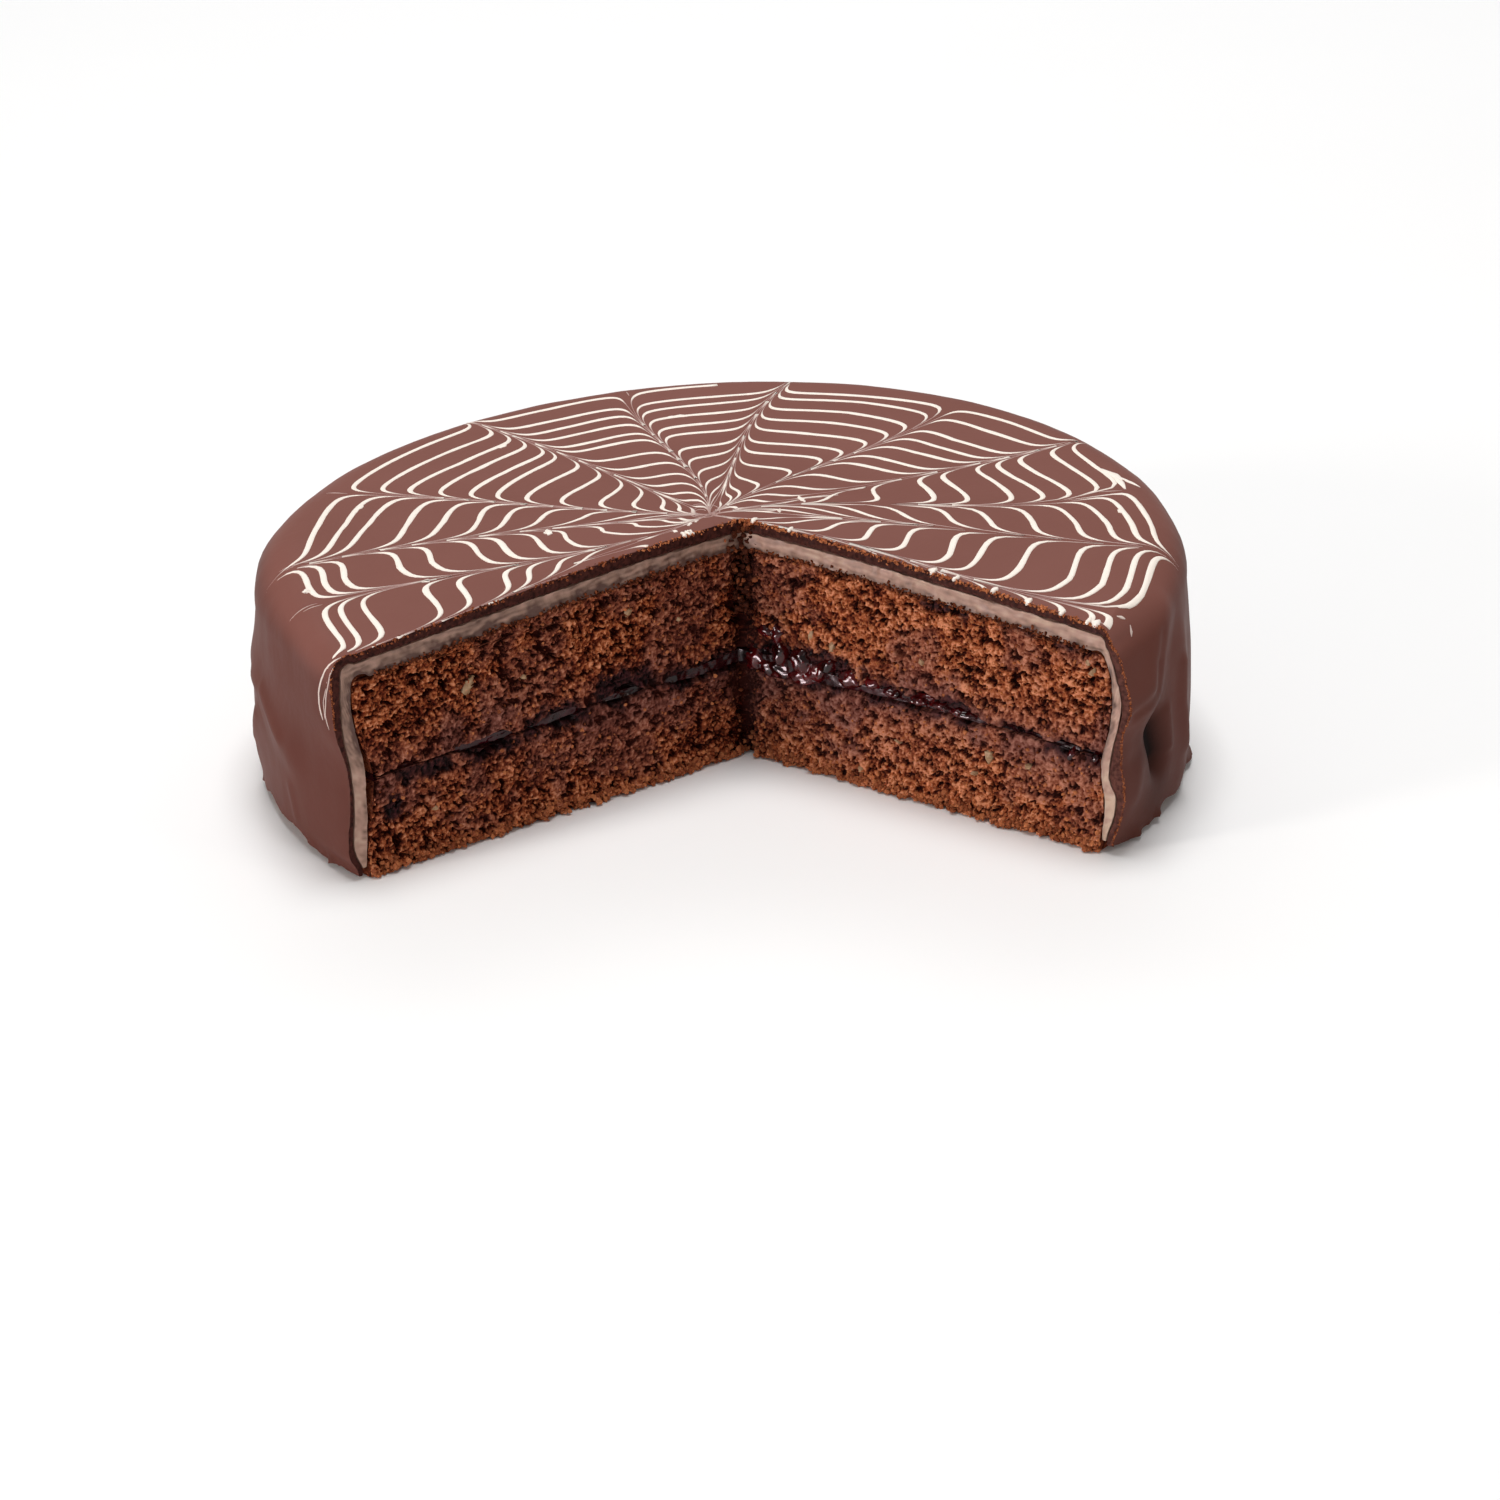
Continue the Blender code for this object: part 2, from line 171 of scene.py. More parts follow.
# How far the parabola of a stroke is followed past its three bearings
STROKE_SHARES = (-0.2, 1.1)
LINE_HALF = 0.00095
LINE_LIFT = 0.00022
# How far a stroke drags the icing and how wide: at large, close to the tool and along its very path
DRAG_OUT = ((0.0045, 0.0029), (0.0080, 0.0010), (0.0120, 0.00034))
DRAG_IN = ((0.0040, 0.0025), (0.0095, 0.0011), (0.0200, 0.00034))
HUB_PULL = 0.016
HUB_WIDTH = 0.0021
HUB_FAR = 0.034
HUB_NEAR = 0.012
DRAG_START = 0.008
DRAG_NARROW = 0.030
PATH_WIDTH = 0.004
SPOKE_OFFSETS = (0.0, 0.05, 0.12, 0.2, 0.3, 0.42, 0.58, 0.78, 1.0, 1.3, 1.7, 2.2, 2.8, 3.6, 4.6, 6.0)
LINE_STEP = 0.0016
BEYOND_SPOKES = math.radians(15)
WEB_FROM_CUT = 0.0002
RIM_LIMIT = 0.0035
# How far past that a stroke draws the icing, and where it begins to fade
STREAK_LIMIT = 0.0075
STREAK_FADE = 0.0010

# Ridges of the side: from (bearing, height) to (bearing, height), how proud and how wide
FOLDS = (
    (190, 0.038, 206, 0.026, 0.0012, 0.006),
    (195, 0.029, 189, 0.012, 0.0011, 0.006),
    (336, 0.057, 330, 0.038, 0.0016, 0.006),
    (341, 0.044, 343, 0.008, 0.0015, 0.006),
    (326, 0.026, 326, 0.010, 0.0010, 0.006),
)
# The folds of the far side: how many, between which bearings, and how far they stray and slant
BACK_FOLDS = 9
BACK_FOLD_FROM_TO = (12, 180)
BACK_FOLD_STRAY = 5
BACK_FOLD_SLANT = 9
STRAY_NOISE = (1.7, 0.3, 0.9)
SLANT_NOISE = (2.3, 4.1, 0.2)
BACK_FOLD_TOP = 0.052
BACK_FOLD_FOOT = 0.006
BACK_FOLD_LIFT = 0.0012
BACK_FOLD_WIDTH = 0.008
CREASES = (
    (192.5, 0.035, 197.6, 0.036, 0.0005, 0.0022),
    (197.6, 0.036, 204, 0.0287, 0.0007, 0.0022),
    (194, 0.026, 189.6, 0.016, 0.0006, 0.0020),
    (205, 0.015, 206, 0.008, 0.0004, 0.0018),
    (340.6, 0.0395, 340.8, 0.0284, 0.0009, 0.0022),
    (340.8, 0.0284, 343, 0.0148, 0.0009, 0.0022),
    (329, 0.021, 328, 0.015, 0.0006, 0.0030),
    (336.7, 0.0300, 337.8, 0.0195, 0.0008, 0.0018),
)
DENTS = (
    (334.4, 0.053, 332.8, 0.047, 0.0005, 0.0014),
    (332.8, 0.047, 331.3, 0.040, 0.0008, 0.0015),
    (331.3, 0.040, 326.5, 0.038, 0.0008, 0.0015),
    (333.4, 0.0285, 334.9, 0.0180, 0.0036, 0.0040),
)
# The pit that the deepest dent ends in, written as a fold: painted shade in the pit, wider and fainter round
# it
PAINTED_PIT_SHADE = ((333.7, 0.0265, 334.8, 0.0195, 0.66, 0.0036),)
PIT_SHADE = ((332.8, 0.0320, 335.0, 0.0110, 0.32, 0.0085),)
# The lip that the coat ran out to at the foot, in places
LIP_OUT = 0.0024
LIP_TALL = 0.0024
LIP_SHAPE = ((1.0, 1 / 11.0), (0.5, 1 / 37.0))
LIP_FROM_TO = (0.05, 0.45)
# How far each layer wanders from its plain form where a cut goes through the side: the cut's bearing,
# then the wander in mm at WAVE_HEIGHTS, also in mm
WAVE_HEIGHTS = (3, 6, 9, 13, 16, 20, 25, 30, 34, 39, 43, 48, 52, 57)
EDGE_WAVES = (
    (219.0, {
        "coat": (-0.6, 1.1, 0.9, 0.4, -0.2, -0.8, -1.2, -0.9, -0.1, 1.4, 2.1, 2.2, 2.3, 2.1),
        "border": (0.3, 1.6, 2.0, 1.6, 1.0, 0.6, 0.3, 0.6, 1.1, 1.8, 2.0, 2.0, 1.9, 1.7),
        "paste": (2.9, 2.6, 2.0, 1.4, 1.0, 0.8, 0.6, 0.5, 1.1, 2.1, 2.8, 3.0, 2.9, 2.9),
        "sponge": (2.9, 2.6, 2.0, 1.4, 0.7, -0.8, -1.2, -0.9, 0.6, 2.1, 2.8, 3.0, 2.9, 2.9),
    }),
    (325.3, {
        "coat": (-1.6, -1.2, -0.7, 0.0, 0.3, 0.0, -1.1, -0.9, 0.1, 2.2, 2.1, 0.8, -0.1, -2.6),
        "border": (-0.8, -0.4, 0.6, 1.1, 1.2, -1.2, -1.0, -0.3, 0.7, 1.7, 1.6, 0.3, -0.8, -2.5),
        "paste": (1.6, 1.6, 1.9, 1.8, 1.3, 0.5, 0.1, 1.2, 2.1, 2.8, 2.9, 2.6, 1.0, 0.6),
        "sponge": (1.6, 1.6, 1.9, 1.8, 1.3, 0.5, 0.1, 1.2, 2.1, 2.8, 2.9, 2.6, 1.0, 0.6),
    }),
)
WAVE_STEP = 0.5
WAVE_GRID = np.arange(-5.0, 75.0, WAVE_STEP)
WAVE_SOFT = 1.3
WAVE_REACH = 6
WAVE_WIDTH = 8.0
WAVE_LEAST = 0.01
# Where the coat's hem stands higher: bearing, half width in degrees, rise
HEM_RISES = ((325.5, 2.5, 0.0008), (338.0, 2.0, 0.0020), (206.0, 5.0, 0.0022), (196.0, 3.0, 0.0030))


def direction(bearing):
    return Vector((math.cos(bearing), math.sin(bearing), 0.0))


def plan(point):
    return Vector((point.x, point.y, 0.0))


def bearing_of(offset):
    return math.atan2(offset.y, offset.x)


def blend(start, end, share):
    return start + (end - start) * share


def smooth_step(low, high, value):
    share = min(1.0, max(0.0, (value - low) / (high - low)))
    return share * share * (3.0 - 2.0 * share)


def waves(place, sizes, field=0.0):
    """Smooth noise: the sum of waves, each given as how far and how wide."""
    return sum(far * noise.noise(place / wide + UP * field) for far, wide in sizes)


def reach_to_circle(bearing, centre, radius):
    """Distance from the hub to a circle, along a bearing."""
    offset = HUB - centre
    along = offset.dot(direction(bearing))
    return -along + math.sqrt(along ** 2 - offset.length_squared + radius ** 2)


def outline_radius(angle):
    front = FRONT_FLAT * max(0.0, -math.sin(angle)) ** FLAT_POWER * (1.0 - FLAT_SKEW * math.cos(angle))
    back = BACK_FLAT * max(0.0, math.sin(angle)) ** 2
    return SIDE_RADIUS - SIDE_SHIFT * math.cos(angle) - front - back


@lru_cache(maxsize=None)
def outline_reach(bearing):
    """Distance from the hub to the foot of the coat's side, along a bearing."""
    reach = SIDE_RADIUS
    for _ in range(OUTLINE_ROUNDS):
        point = HUB + direction(bearing) * reach
        reach += outline_radius(bearing_of(point)) - point.length
    return reach


@lru_cache(maxsize=None)
def lean(bearing):
    return LEAN_SHARE * (outline_reach(bearing) - reach_to_circle(bearing, Vector(), TOP_RADIUS))


def top_height(point):
    sink = math.log1p(math.exp((-point.y - SINK_START) / SINK_SOFTNESS))
    twist = BACK_TWIST * point.x * max(0.0, point.y)
    return HEIGHT + twist - SINK_SLOPE * SINK_SOFTNESS * sink


def jam_surfaces(point):
    """Heights of the jam's underside and top."""
    spot = plan(point)
    middle = JAM_HEIGHT - JAM_SINK * (HEIGHT - top_height(spot)) + waves(spot, JAM_WAVE)
    away = (spot - JAM_POOL_AT).length / JAM_POOL_SIZE
    lumps = 1.0 + waves(spot + UP * JAM_LUMP_FIELD, JAM_LUMPS)
    half = 0.5 * (JAM_THICK + JAM_POOL * math.exp(-away ** 2)) * lumps
    return middle - half, middle + half


def under_jam(spot):
    return jam_surfaces(spot)[0] - GAP


def over_jam(spot):
    return jam_surfaces(spot)[1] + GAP


def side_swell(bearing, height):
    share = min(1.0, max(0.0, height / (HEIGHT - lean(bearing) / LEAN_SHARE)))
    return lean(bearing) * (1.0 - share) + SIDE_BULGE * math.sin(math.pi * share)


def hem_rise(bearing):
    angle = math.degrees(bearing) % 360
    return sum(rise * math.exp(-((angle - middle) / half) ** 2) for middle, half, rise in HEM_RISES)


def hem_height(bearing):
    ragged = max(0.0, HEM_MORE + waves(direction(bearing), HEM_SHAPE))
    fine = waves(direction(bearing), HEM_FINE)
    return max(HEM_LEAST, COAT_HEM + HEM_RAGGED * ragged + fine) + hem_rise(bearing)


def noise_along(k, step, *start):
    return noise.noise(Vector((k * step, *start)))


def back_folds():
    folds = []
    for k in range(BACK_FOLDS):
        stray = BACK_FOLD_STRAY * noise_along(k, *STRAY_NOISE)
        slant = BACK_FOLD_SLANT * noise_along(k, *SLANT_NOISE)
        bearing = blend(*BACK_FOLD_FROM_TO, k / (BACK_FOLDS - 1)) + stray
        foot = BACK_FOLD_FOOT * (1 + k % 3)
        folds.append((bearing, BACK_FOLD_TOP, bearing + slant, foot, BACK_FOLD_LIFT, BACK_FOLD_WIDTH))
    return tuple(folds)


RIDGES = FOLDS + back_folds()


def fold_lift(bearing, height, folds):
    place = Vector((math.degrees(bearing) % 360, height))
    scale = math.radians(1.0) * SIDE_RADIUS
    lift = 0.0
    for start_bearing, start_height, end_bearing, end_height, proud, width in folds:
        turn = (place.x - start_bearing + 180) % 360 - 180
        here = Vector((turn * scale, place.y - start_height))
        run = Vector(((end_bearing - start_bearing) * scale, end_height - start_height))
        share = min(1.0, max(0.0, here.dot(run) / run.length_squared))
        away = (here - run * share).length
        lift = max(lift, proud * math.exp(-(away / width) ** 2))
    return lift


def smooth_wave(wander):
    """The named wander, run through without corners."""
    plain = np.interp(WAVE_GRID, WAVE_HEIGHTS, wander)
    bell = np.exp(-(np.arange(-WAVE_REACH, WAVE_REACH + 1) * WAVE_STEP / WAVE_SOFT) ** 2)
    return np.convolve(plain, bell / bell.sum(), "same")


SMOOTH_WAVES = [
    (middle, {layer: smooth_wave(row) for layer, row in rows.items()})
    for middle, rows in EDGE_WAVES
]


def edge_wave(layer, bearing, height):
    angle = math.degrees(bearing) % 360
    wander = 0.0
    for middle, rows in SMOOTH_WAVES:
        near = math.exp(-((angle - middle) / WAVE_WIDTH) ** 2)
        if near > WAVE_LEAST:
            wander += near * float(np.interp(height / MM, WAVE_GRID, rows[layer])) * MM
    return wander


def border_relief(bearing, height):
    return edge_wave("border", bearing, height) - fold_lift(bearing, height, DENTS)


def paste_relief(bearing, height):
    return edge_wave("paste", bearing, height) - fold_lift(bearing, height, DENTS)


def sponge_relief(bearing, height):
    return edge_wave("sponge", bearing, height)


def coat_relief(bearing, height):
    """Ridges, creases and dents of the coat's side, and its lip at the foot."""
    ripple = waves(direction(bearing) * SIDE_RADIUS + UP * height * RIPPLE_STRETCH, SIDE_RIPPLE)
    lift = fold_lift(bearing, height, RIDGES) + fold_lift(bearing, height, CREASES)
    lip = smooth_step(*LIP_FROM_TO, waves(direction(bearing), LIP_SHAPE))
    lift += LIP_OUT * math.exp(-(height / LIP_TALL) ** 2) * lip
    return lift + ripple + edge_wave("coat", bearing, height) - fold_lift(bearing, height, DENTS)


class Skin:
    """One face of a layer, which runs across the top, over the edge and down the side."""

    def __init__(self, top_middle, top_rim, side, foot, relief=None):
        self.top_middle = top_middle
        self.top_rim = top_rim
        self.side = side
        self.foot = foot
        self.relief = relief

    def measure(self, bearing):
        shoulder = outline_reach(bearing) - lean(bearing)
        edge = shoulder - reach_to_circle(bearing, Vector(), TOP_RADIUS)
        edge = max(EDGE_MIN, edge - 0.5 * (self.top_rim + self.side))
        reach = shoulder - self.side
        return reach, edge, reach - edge

    def top(self, point):
        share = min(1.0, Vector((point.x, point.y)).length / TOP_RADIUS)
        return top_height(point) - blend(self.top_middle, self.top_rim, share)

    def length(self, bearing):
        reach, edge, flat = self.measure(bearing)
        shoulder = self.top(HUB + direction(bearing) * reach) - edge
        return flat + edge * math.pi / 2 + shoulder - self.foot(bearing)

    def travel(self, bearing, turn, fall):
        """Travel to a place past the flat top: turned over the edge, then a share of the way down."""
        _, edge, flat = self.measure(bearing)
        down = self.length(bearing) - flat - edge * math.pi / 2
        return flat + edge * turn + down * fall

    def point(self, bearing, travel, lift=0.0):
        _, edge, flat = self.measure(bearing)
        out = direction(bearing)
        turn = min(math.pi / 2, max(0.0, (travel - flat) / edge))
        down = max(0.0, travel - flat - edge * math.pi / 2)
        spot = HUB + out * (min(travel, flat) + edge * math.sin(turn))
        height = self.top(spot) - edge * (1.0 - math.cos(turn)) - down
        if turn > 0.0:
            bulge = side_swell(bearing, height) * math.sin(turn)
            lift += self.relief(bearing, height) * math.sin(turn) if self.relief else 0.0
            spot += out * (bulge + lift * math.sin(turn))
        spot.z = height + lift * math.cos(turn)
        return spot


class Cut:
    """One face of the cut. `across` points out of the cake, into the missing slices."""

    def __init__(self, angle, side):
        self.side = side
        self.out = direction(math.radians(angle))
        self.across = Vector((-self.out.y, self.out.x, 0.0)) * side

    def at(self, s, height=0.0, proud=0.0):
        return CUT_CORNER + self.out * s + self.across * proud + UP * height

    def reach(self, distance):
        """Where along the cut the hub is this far away."""
        offset = CUT_CORNER - HUB
        along = offset.dot(self.out)
        return -along + math.sqrt(max(0.0, along ** 2 - offset.length_squared + distance ** 2))

    def bearing(self, distance):
        angle = bearing_of(self.at(self.reach(distance)) - HUB)
        return angle + 2 * math.pi if self.side > 0 and angle < 0 else angle

    def rim_bearing(self, skin, turn, fall):
        """Bearing at which a skin's edge or side crosses the cut."""
        distance = SIDE_RADIUS
        for _ in range(CROSSING_ROUNDS):
            bearing = self.bearing(distance)
            distance = plan(skin.point(bearing, skin.travel(bearing, turn, fall)) - HUB).length
        return bearing


LEFT = Cut(LEFT_ANGLE, 1)
RIGHT = Cut(RIGHT_ANGLE, -1)

COAT_OUTER = Skin(0.0, 0.0, 0.0, hem_height, coat_relief)
COAT_INNER = Skin(COAT_TOP_MIDDLE, COAT_TOP_RIM, COAT_SIDE, hem_height, border_relief)
MARZIPAN_INSET = (COAT_TOP_MIDDLE + COAT_GAP, COAT_TOP_RIM + COAT_GAP, COAT_SIDE + COAT_GAP)


def marzipan_foot(bearing):
    return MARZIPAN_FOOT + 0.5 * hem_rise(bearing)


def level(place):
    """The height of the plate, at any bearing or spot."""
    return 0.0


MARZIPAN_OUTER = Skin(*MARZIPAN_INSET, marzipan_foot, border_relief)
MARZIPAN_INNER = Skin(
    MARZIPAN_INSET[0] + MARZIPAN_TOP,
    MARZIPAN_INSET[1] + MARZIPAN_TOP,
    MARZIPAN_INSET[2] + MARZIPAN_SIDE,
    marzipan_foot,
    paste_relief,
)
SPONGE_SKIN = Skin(
    MARZIPAN_INSET[0] + MARZIPAN_TOP + GAP,
    MARZIPAN_INSET[1] + MARZIPAN_TOP + GAP,
    MARZIPAN_INSET[2] + MARZIPAN_SIDE + GAP,
    level,
    sponge_relief,
)


# ---------------------------------------------------------------- meshes


def columns(count):
    """Columns from the left end of the cut, round its corner, to the right end."""
    return [k / count for k in range(count + 1)]


def path_place(place):
    """The cut face and the share of its length that a column starts from."""
    if place < 0.5:
        return LEFT, 1.0 - 2.0 * place
    return RIGHT, 2.0 * place - 1.0


def rim_steps(edge_rows, side_rows):
    """Turns over the rounded edge, then falls down the side."""
    edge = [(math.pi / 2 * k / edge_rows, 0.0) for k in range(edge_rows + 1)]
    return edge + [(math.pi / 2, k / side_rows) for k in range(1, side_rows + 1)]


def rim_row(skin, turn, fall, places):
    left = LEFT.rim_bearing(skin, turn, fall)
    right = RIGHT.rim_bearing(skin, turn, fall)
    row = []
    for place in places:
        bearing = blend(left, right, place)
        row.append(skin.point(bearing, skin.travel(bearing, turn, fall)))
    return row


def spread_row(rim, height, share, places):
    """Row between the cut and a rim, at the height that a function gives."""
    ends = {LEFT: (plan(rim[0]) - CUT_CORNER).length, RIGHT: (plan(rim[-1]) - CUT_CORNER).length}
    row = []
    for place, edge in zip(places, rim):
        cut, along = path_place(place)
        spot = plan(cut.at(ends[cut] * along)).lerp(plan(edge), share)
        spot.z = height(spot)
        row.append(spot)
    return row


SAME_POINT = 1e-6
NO_LENGTH = 1e-7


def new_mesh(name, points, faces, values):
    mesh = bpy.data.meshes.new(name)
    mesh.from_pydata([tuple(point) for point in points], [], faces)
    for label, numbers in values.items():
        layer = mesh.attributes.new(label, "FLOAT", "POINT")
        layer.data.foreach_set("value", np.asarray(numbers, dtype=np.float32))
    return mesh


def place_mesh(mesh, material):
    mesh.materials.append(material)
    thing = bpy.data.objects.new(mesh.name, mesh)
    thing.location = AXIS
    bpy.context.collection.objects.link(thing)
    return thing


def mesh_object(name, points, faces, material, values, sharp=None):
    """A smooth piece without doubled points, with edges sharper than an angle left sharp."""
    mesh = new_mesh(name, points, faces, values)
    body = bmesh.new()
    body.from_mesh(mesh)
    bmesh.ops.remove_doubles(body, verts=body.verts, dist=SAME_POINT)
    bmesh.ops.dissolve_degenerate(body, edges=body.edges, dist=NO_LENGTH)
    bmesh.ops.recalc_face_normals(body, faces=body.faces)
    body.to_mesh(mesh)
    body.free()
    mesh.shade_smooth()
    if sharp is not None:
        mesh.set_sharp_from_angle(angle=math.radians(sharp))
    return place_mesh(mesh, material)


def grid_faces(rows, count, closed, start=0):
    faces = []
    for i in range(rows if closed else rows - 1):
        a = start + i * count
        b = start + ((i + 1) % rows) * count
        for k in range(count - 1):
            faces.append((a + k, a + k + 1, b + k + 1, b + k))
    return faces


# The torn strip along a cut's edge: its share of the way to the rim, and of a column at the ends
TORN_SHARE = 0.004
TORN_COLUMN = 0.3
INNER_ROWS = 8
SHARP_EDGE = 40
SHARP_CRUMB = 80


def layer_body(name, skins, material, relief, tone, counts):
    """Coat or marzipan: a thin closed body whose edge shows at the cut as a band.

    `tone` gives each point's value for the material, from its cut or None, its place and its share
    of the way from the inner to the outer face. `counts` are the bands across the cut edge, the
    columns, and the rows of the top, the rounded edge and the side.
    """
    outer, inner = skins
    bands, count, top_rows, edge_rows, side_rows = counts
    places = columns(count)
    places[1:1] = [TORN_COLUMN / count]
    places[-1:-1] = [1.0 - TORN_COLUMN / count]
    rim = rim_steps(edge_rows, side_rows)
    sides = {skin: [rim_row(skin, turn, fall, places) for turn, fall in rim] for skin in skins}
    tops = {}
    for skin, steps in ((outer, top_rows), (inner, INNER_ROWS)):
        edge = sides[skin][0]
        tops[skin] = [spread_row(edge, skin.top, share, places) for share in [0.0, TORN_SHARE]]
        tops[skin] += [spread_row(edge, skin.top, k / steps, places) for k in range(1, steps)]
    rows = [(row, 1.0, k == 0) for k, row in enumerate(tops[outer] + sides[outer])]
    rows += [(row, 0.0, False) for row in sides[inner][::-1] + tops[inner][:0:-1]]
    for k in range(bands):
        share = k / bands
        rows.append(([a.lerp(b, share) for a, b in zip(tops[inner][0], tops[outer][0])], share, True))
    points = []
    flags = []
    tones = []

    def add(point, cut, share):
        points.append(point + relief(cut, point) if cut else point)
        flags.append(1.0 if cut else 0.0)
        tones.append(tone(cut, point, share))

    for row, share, torn in rows:
        for place, point in zip(places, row):
            add(point, path_place(place)[0] if torn or place in (0.0, 1.0) else None, share)
    width = len(places)
    faces = grid_faces(len(rows), width, True)
    for cut, end in ((LEFT, 0), (RIGHT, -1)):
        start = len(points)
        for outer_row, inner_row in zip(sides[outer], sides[inner]):
            for k in range(bands + 1):
                add(inner_row[end].lerp(outer_row[end], 1.0 - k / bands), cut, 1.0 - k / bands)
        faces += grid_faces(len(rim), bands + 1, False, start)
    return mesh_object(name, points, faces, material, {"cut": flags, "tone": tones}, SHARP_EDGE)


# Bands across the cut edge, columns, and rows of the top, the rounded edge and the side
COAT_COUNTS = (5, 520, 26, 12, 60)
MARZIPAN_COUNTS = (12, 420, 8, 12, 56)
COAT_ROUGH = ((0.0003, 1 / 900.0), (0.0002, 1 / 2340.0))
COAT_DROP = ((0.0002, 1 / 1170.0),)
# How far below the top the coat's side begins and is reached, where painted shade makes the side darker than
# the top, and how dark the broken edges are, the left one darker with painted shade
SIDE_FROM_TO = (0.0015, 0.0085)
LEFT_EDGE_PAINTED_SHADE = 0.12
RIGHT_EDGE_TONE = 0.25
# Painted shade: the right side darkens towards the foot; the painted shade of the foot and the pit is only
# put below the last height
RIGHT_FOOT_PAINTED_SHADE = 0.14
FOOT_SHADE_ACROSS = (0.010, 0.075)
FOOT_SHADE_DOWN = (0.040, 0.010)
PAINTED_SHADE_BELOW = 0.05


def make_coat(material):
    def relief(cut, point):
        return cut.across * waves(point, COAT_ROUGH) + UP * waves(point, COAT_DROP, DROP_FIELD)

    def tone(cut, point, share):
        """0 on the top, 1 on the side that is painted darker as shade, 2 in the pit's painted shade; painted
        shade darkens the right side's foot, and the left cut is painted in shade all along.
        """
        side = smooth_step(*SIDE_FROM_TO, top_height(point) - point.z)
        if share == 1.0 and point.z < PAINTED_SHADE_BELOW:
            bearing = bearing_of(point - HUB)
            side += fold_lift(bearing, point.z, PAINTED_PIT_SHADE) + fold_lift(bearing, point.z, PIT_SHADE)
            side += RIGHT_FOOT_PAINTED_SHADE * smooth_step(*FOOT_SHADE_ACROSS, point.x) * smooth_step(*FOOT_SHADE_DOWN, point.z)
        if cut is LEFT:
            return LEFT_EDGE_PAINTED_SHADE
        return side if cut is None else blend(RIGHT_EDGE_TONE, 1.0, side)

    coat = layer_body("coat_poured", (COAT_OUTER, COAT_INNER), material, relief, tone, COAT_COUNTS)
    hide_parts("chocolate_coat")
    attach(coat, "root")


PASTE_ROUGH = ((0.0004, 1 / 420.0), (0.00025, 1 / 966.0))
PASTE_DROP = ((0.0004, 1 / 252.0),)
PASTE_BACK = 0.0001
PASTE_HIDDEN_TONE = 0.5
# How pale the paste is on each cut, high and low, and between which heights that changes; the left cut's
# paste is darker as painted shade
PASTE_PALE_AND_PAINTED_SHADE = {LEFT: (0.28, 0.637), RIGHT: (0.62, 0.9005)}
PASTE_LOW = {LEFT: (0.036, 0.026), RIGHT: (0.024, 0.018)}
PASTE_CLOUD = ((0.24, 0.004), (0.20, 0.0014))
STREAK_LONG = 0.0045
STREAK_TALL = 0.0008
STREAK_SLOPE = 0.1
STREAK_TONE = 0.34
# The stain next to the crumb: how far across the paste, how ragged, how dark, and how much less low down
STAIN_ACROSS = 0.62
STAIN_RAGGED = ((0.35, 0.0035), (0.2, 0.0012))
STAIN_TONE = 0.42
STAIN_LESS = 0.7


def make_marzipan(material):
    def relief(cut, point):
        rough = waves(point, PASTE_ROUGH) - PASTE_BACK
        return cut.across * rough + UP * waves(point, PASTE_DROP)

    def tone(cut, point, share):
        """How pale the paste is: stained next to the crumb, creamy low on the side, and darker on the left
        cut as painted shade.
        """
        if cut is None:
            return PASTE_HIDDEN_TONE
        low = smooth_step(*PASTE_LOW[cut], point.z)
        stain = smooth_step(STAIN_ACROSS, 0.0, share + waves(point, STAIN_RAGGED))
        along = (point - CUT_CORNER).dot(cut.out)
        streak = Vector((along / STREAK_LONG, (point.z + STREAK_SLOPE * along) / STREAK_TALL, 0.0))
        cloud = waves(point, PASTE_CLOUD) + STREAK_TONE * noise.noise(streak)
        return blend(*PASTE_PALE_AND_PAINTED_SHADE[cut], low) + cloud - STAIN_TONE * stain * (1.0 - STAIN_LESS * low)

    skins = (MARZIPAN_OUTER, MARZIPAN_INNER)
    sheet = layer_body("marzipan_sheet", skins, material, relief, tone, MARZIPAN_COUNTS)
    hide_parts("marzipan_cover")
    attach(sheet, "root")


# ---------------------------------------------------------------- sponge and jam

# The step of the cut faces' mesh, and the heights and the length of both cuts that it goes into
FACE_STEP = 0.00034
FACE_ROWS = {"bottom": 0.0265, "top": 0.0300}
CUT_LENGTHS = 0.215
# In the tables from here on, places and sizes are in mm: along the cut, then the height
# The largest holes in the crumb: place, half width and half height
BIG_PORES = {
    LEFT: (
        (12.0, 27.5, 5.0, 1.1), (36.0, 29.0, 3.0, 1.2), (57.0, 25.5, 5.0, 1.0), (76.0, 24.0, 3.0, 1.0),
        (58.0, 44.0, 1.4, 1.1), (88.0, 45.5, 1.4, 1.2), (57.0, 51.5, 1.8, 1.0), (99.0, 52.0, 1.3, 1.2),
    ),
    RIGHT: (
        (78.0, 27.5, 1.8, 1.2), (85.0, 27.0, 2.4, 0.9), (94.5, 25.0, 1.4, 1.6), (102.0, 25.0, 0.9, 2.2),
        (54.0, 29.5, 3.2, 1.0), (47.0, 40.0, 1.8, 1.2), (97.5, 36.5, 1.2, 1.0), (67.0, 32.0, 1.3, 1.2),
        (15.5, 52.0, 2.6, 1.5), (37.5, 49.5, 1.6, 1.2), (61.0, 15.0, 1.2, 1.0), (31.0, 11.0, 1.2, 1.0),
    ),
}
BIG_PORE_EDGE = (1.1, 0.5)
BIG_PORE_DEEP = 0.0024
BIG_PORE_BY_MIDDLE = 0.5
# A gap between the crumb and the marzipan low on the left cut
GAP_HEIGHT = 0.0255
GAP_TALL = 0.0045
GAP_WIDE = 0.0013
GAP_DEEP = 0.0026
GAP_EDGE = (1.3, 0.6)
GAP_BY_FINE = 0.4
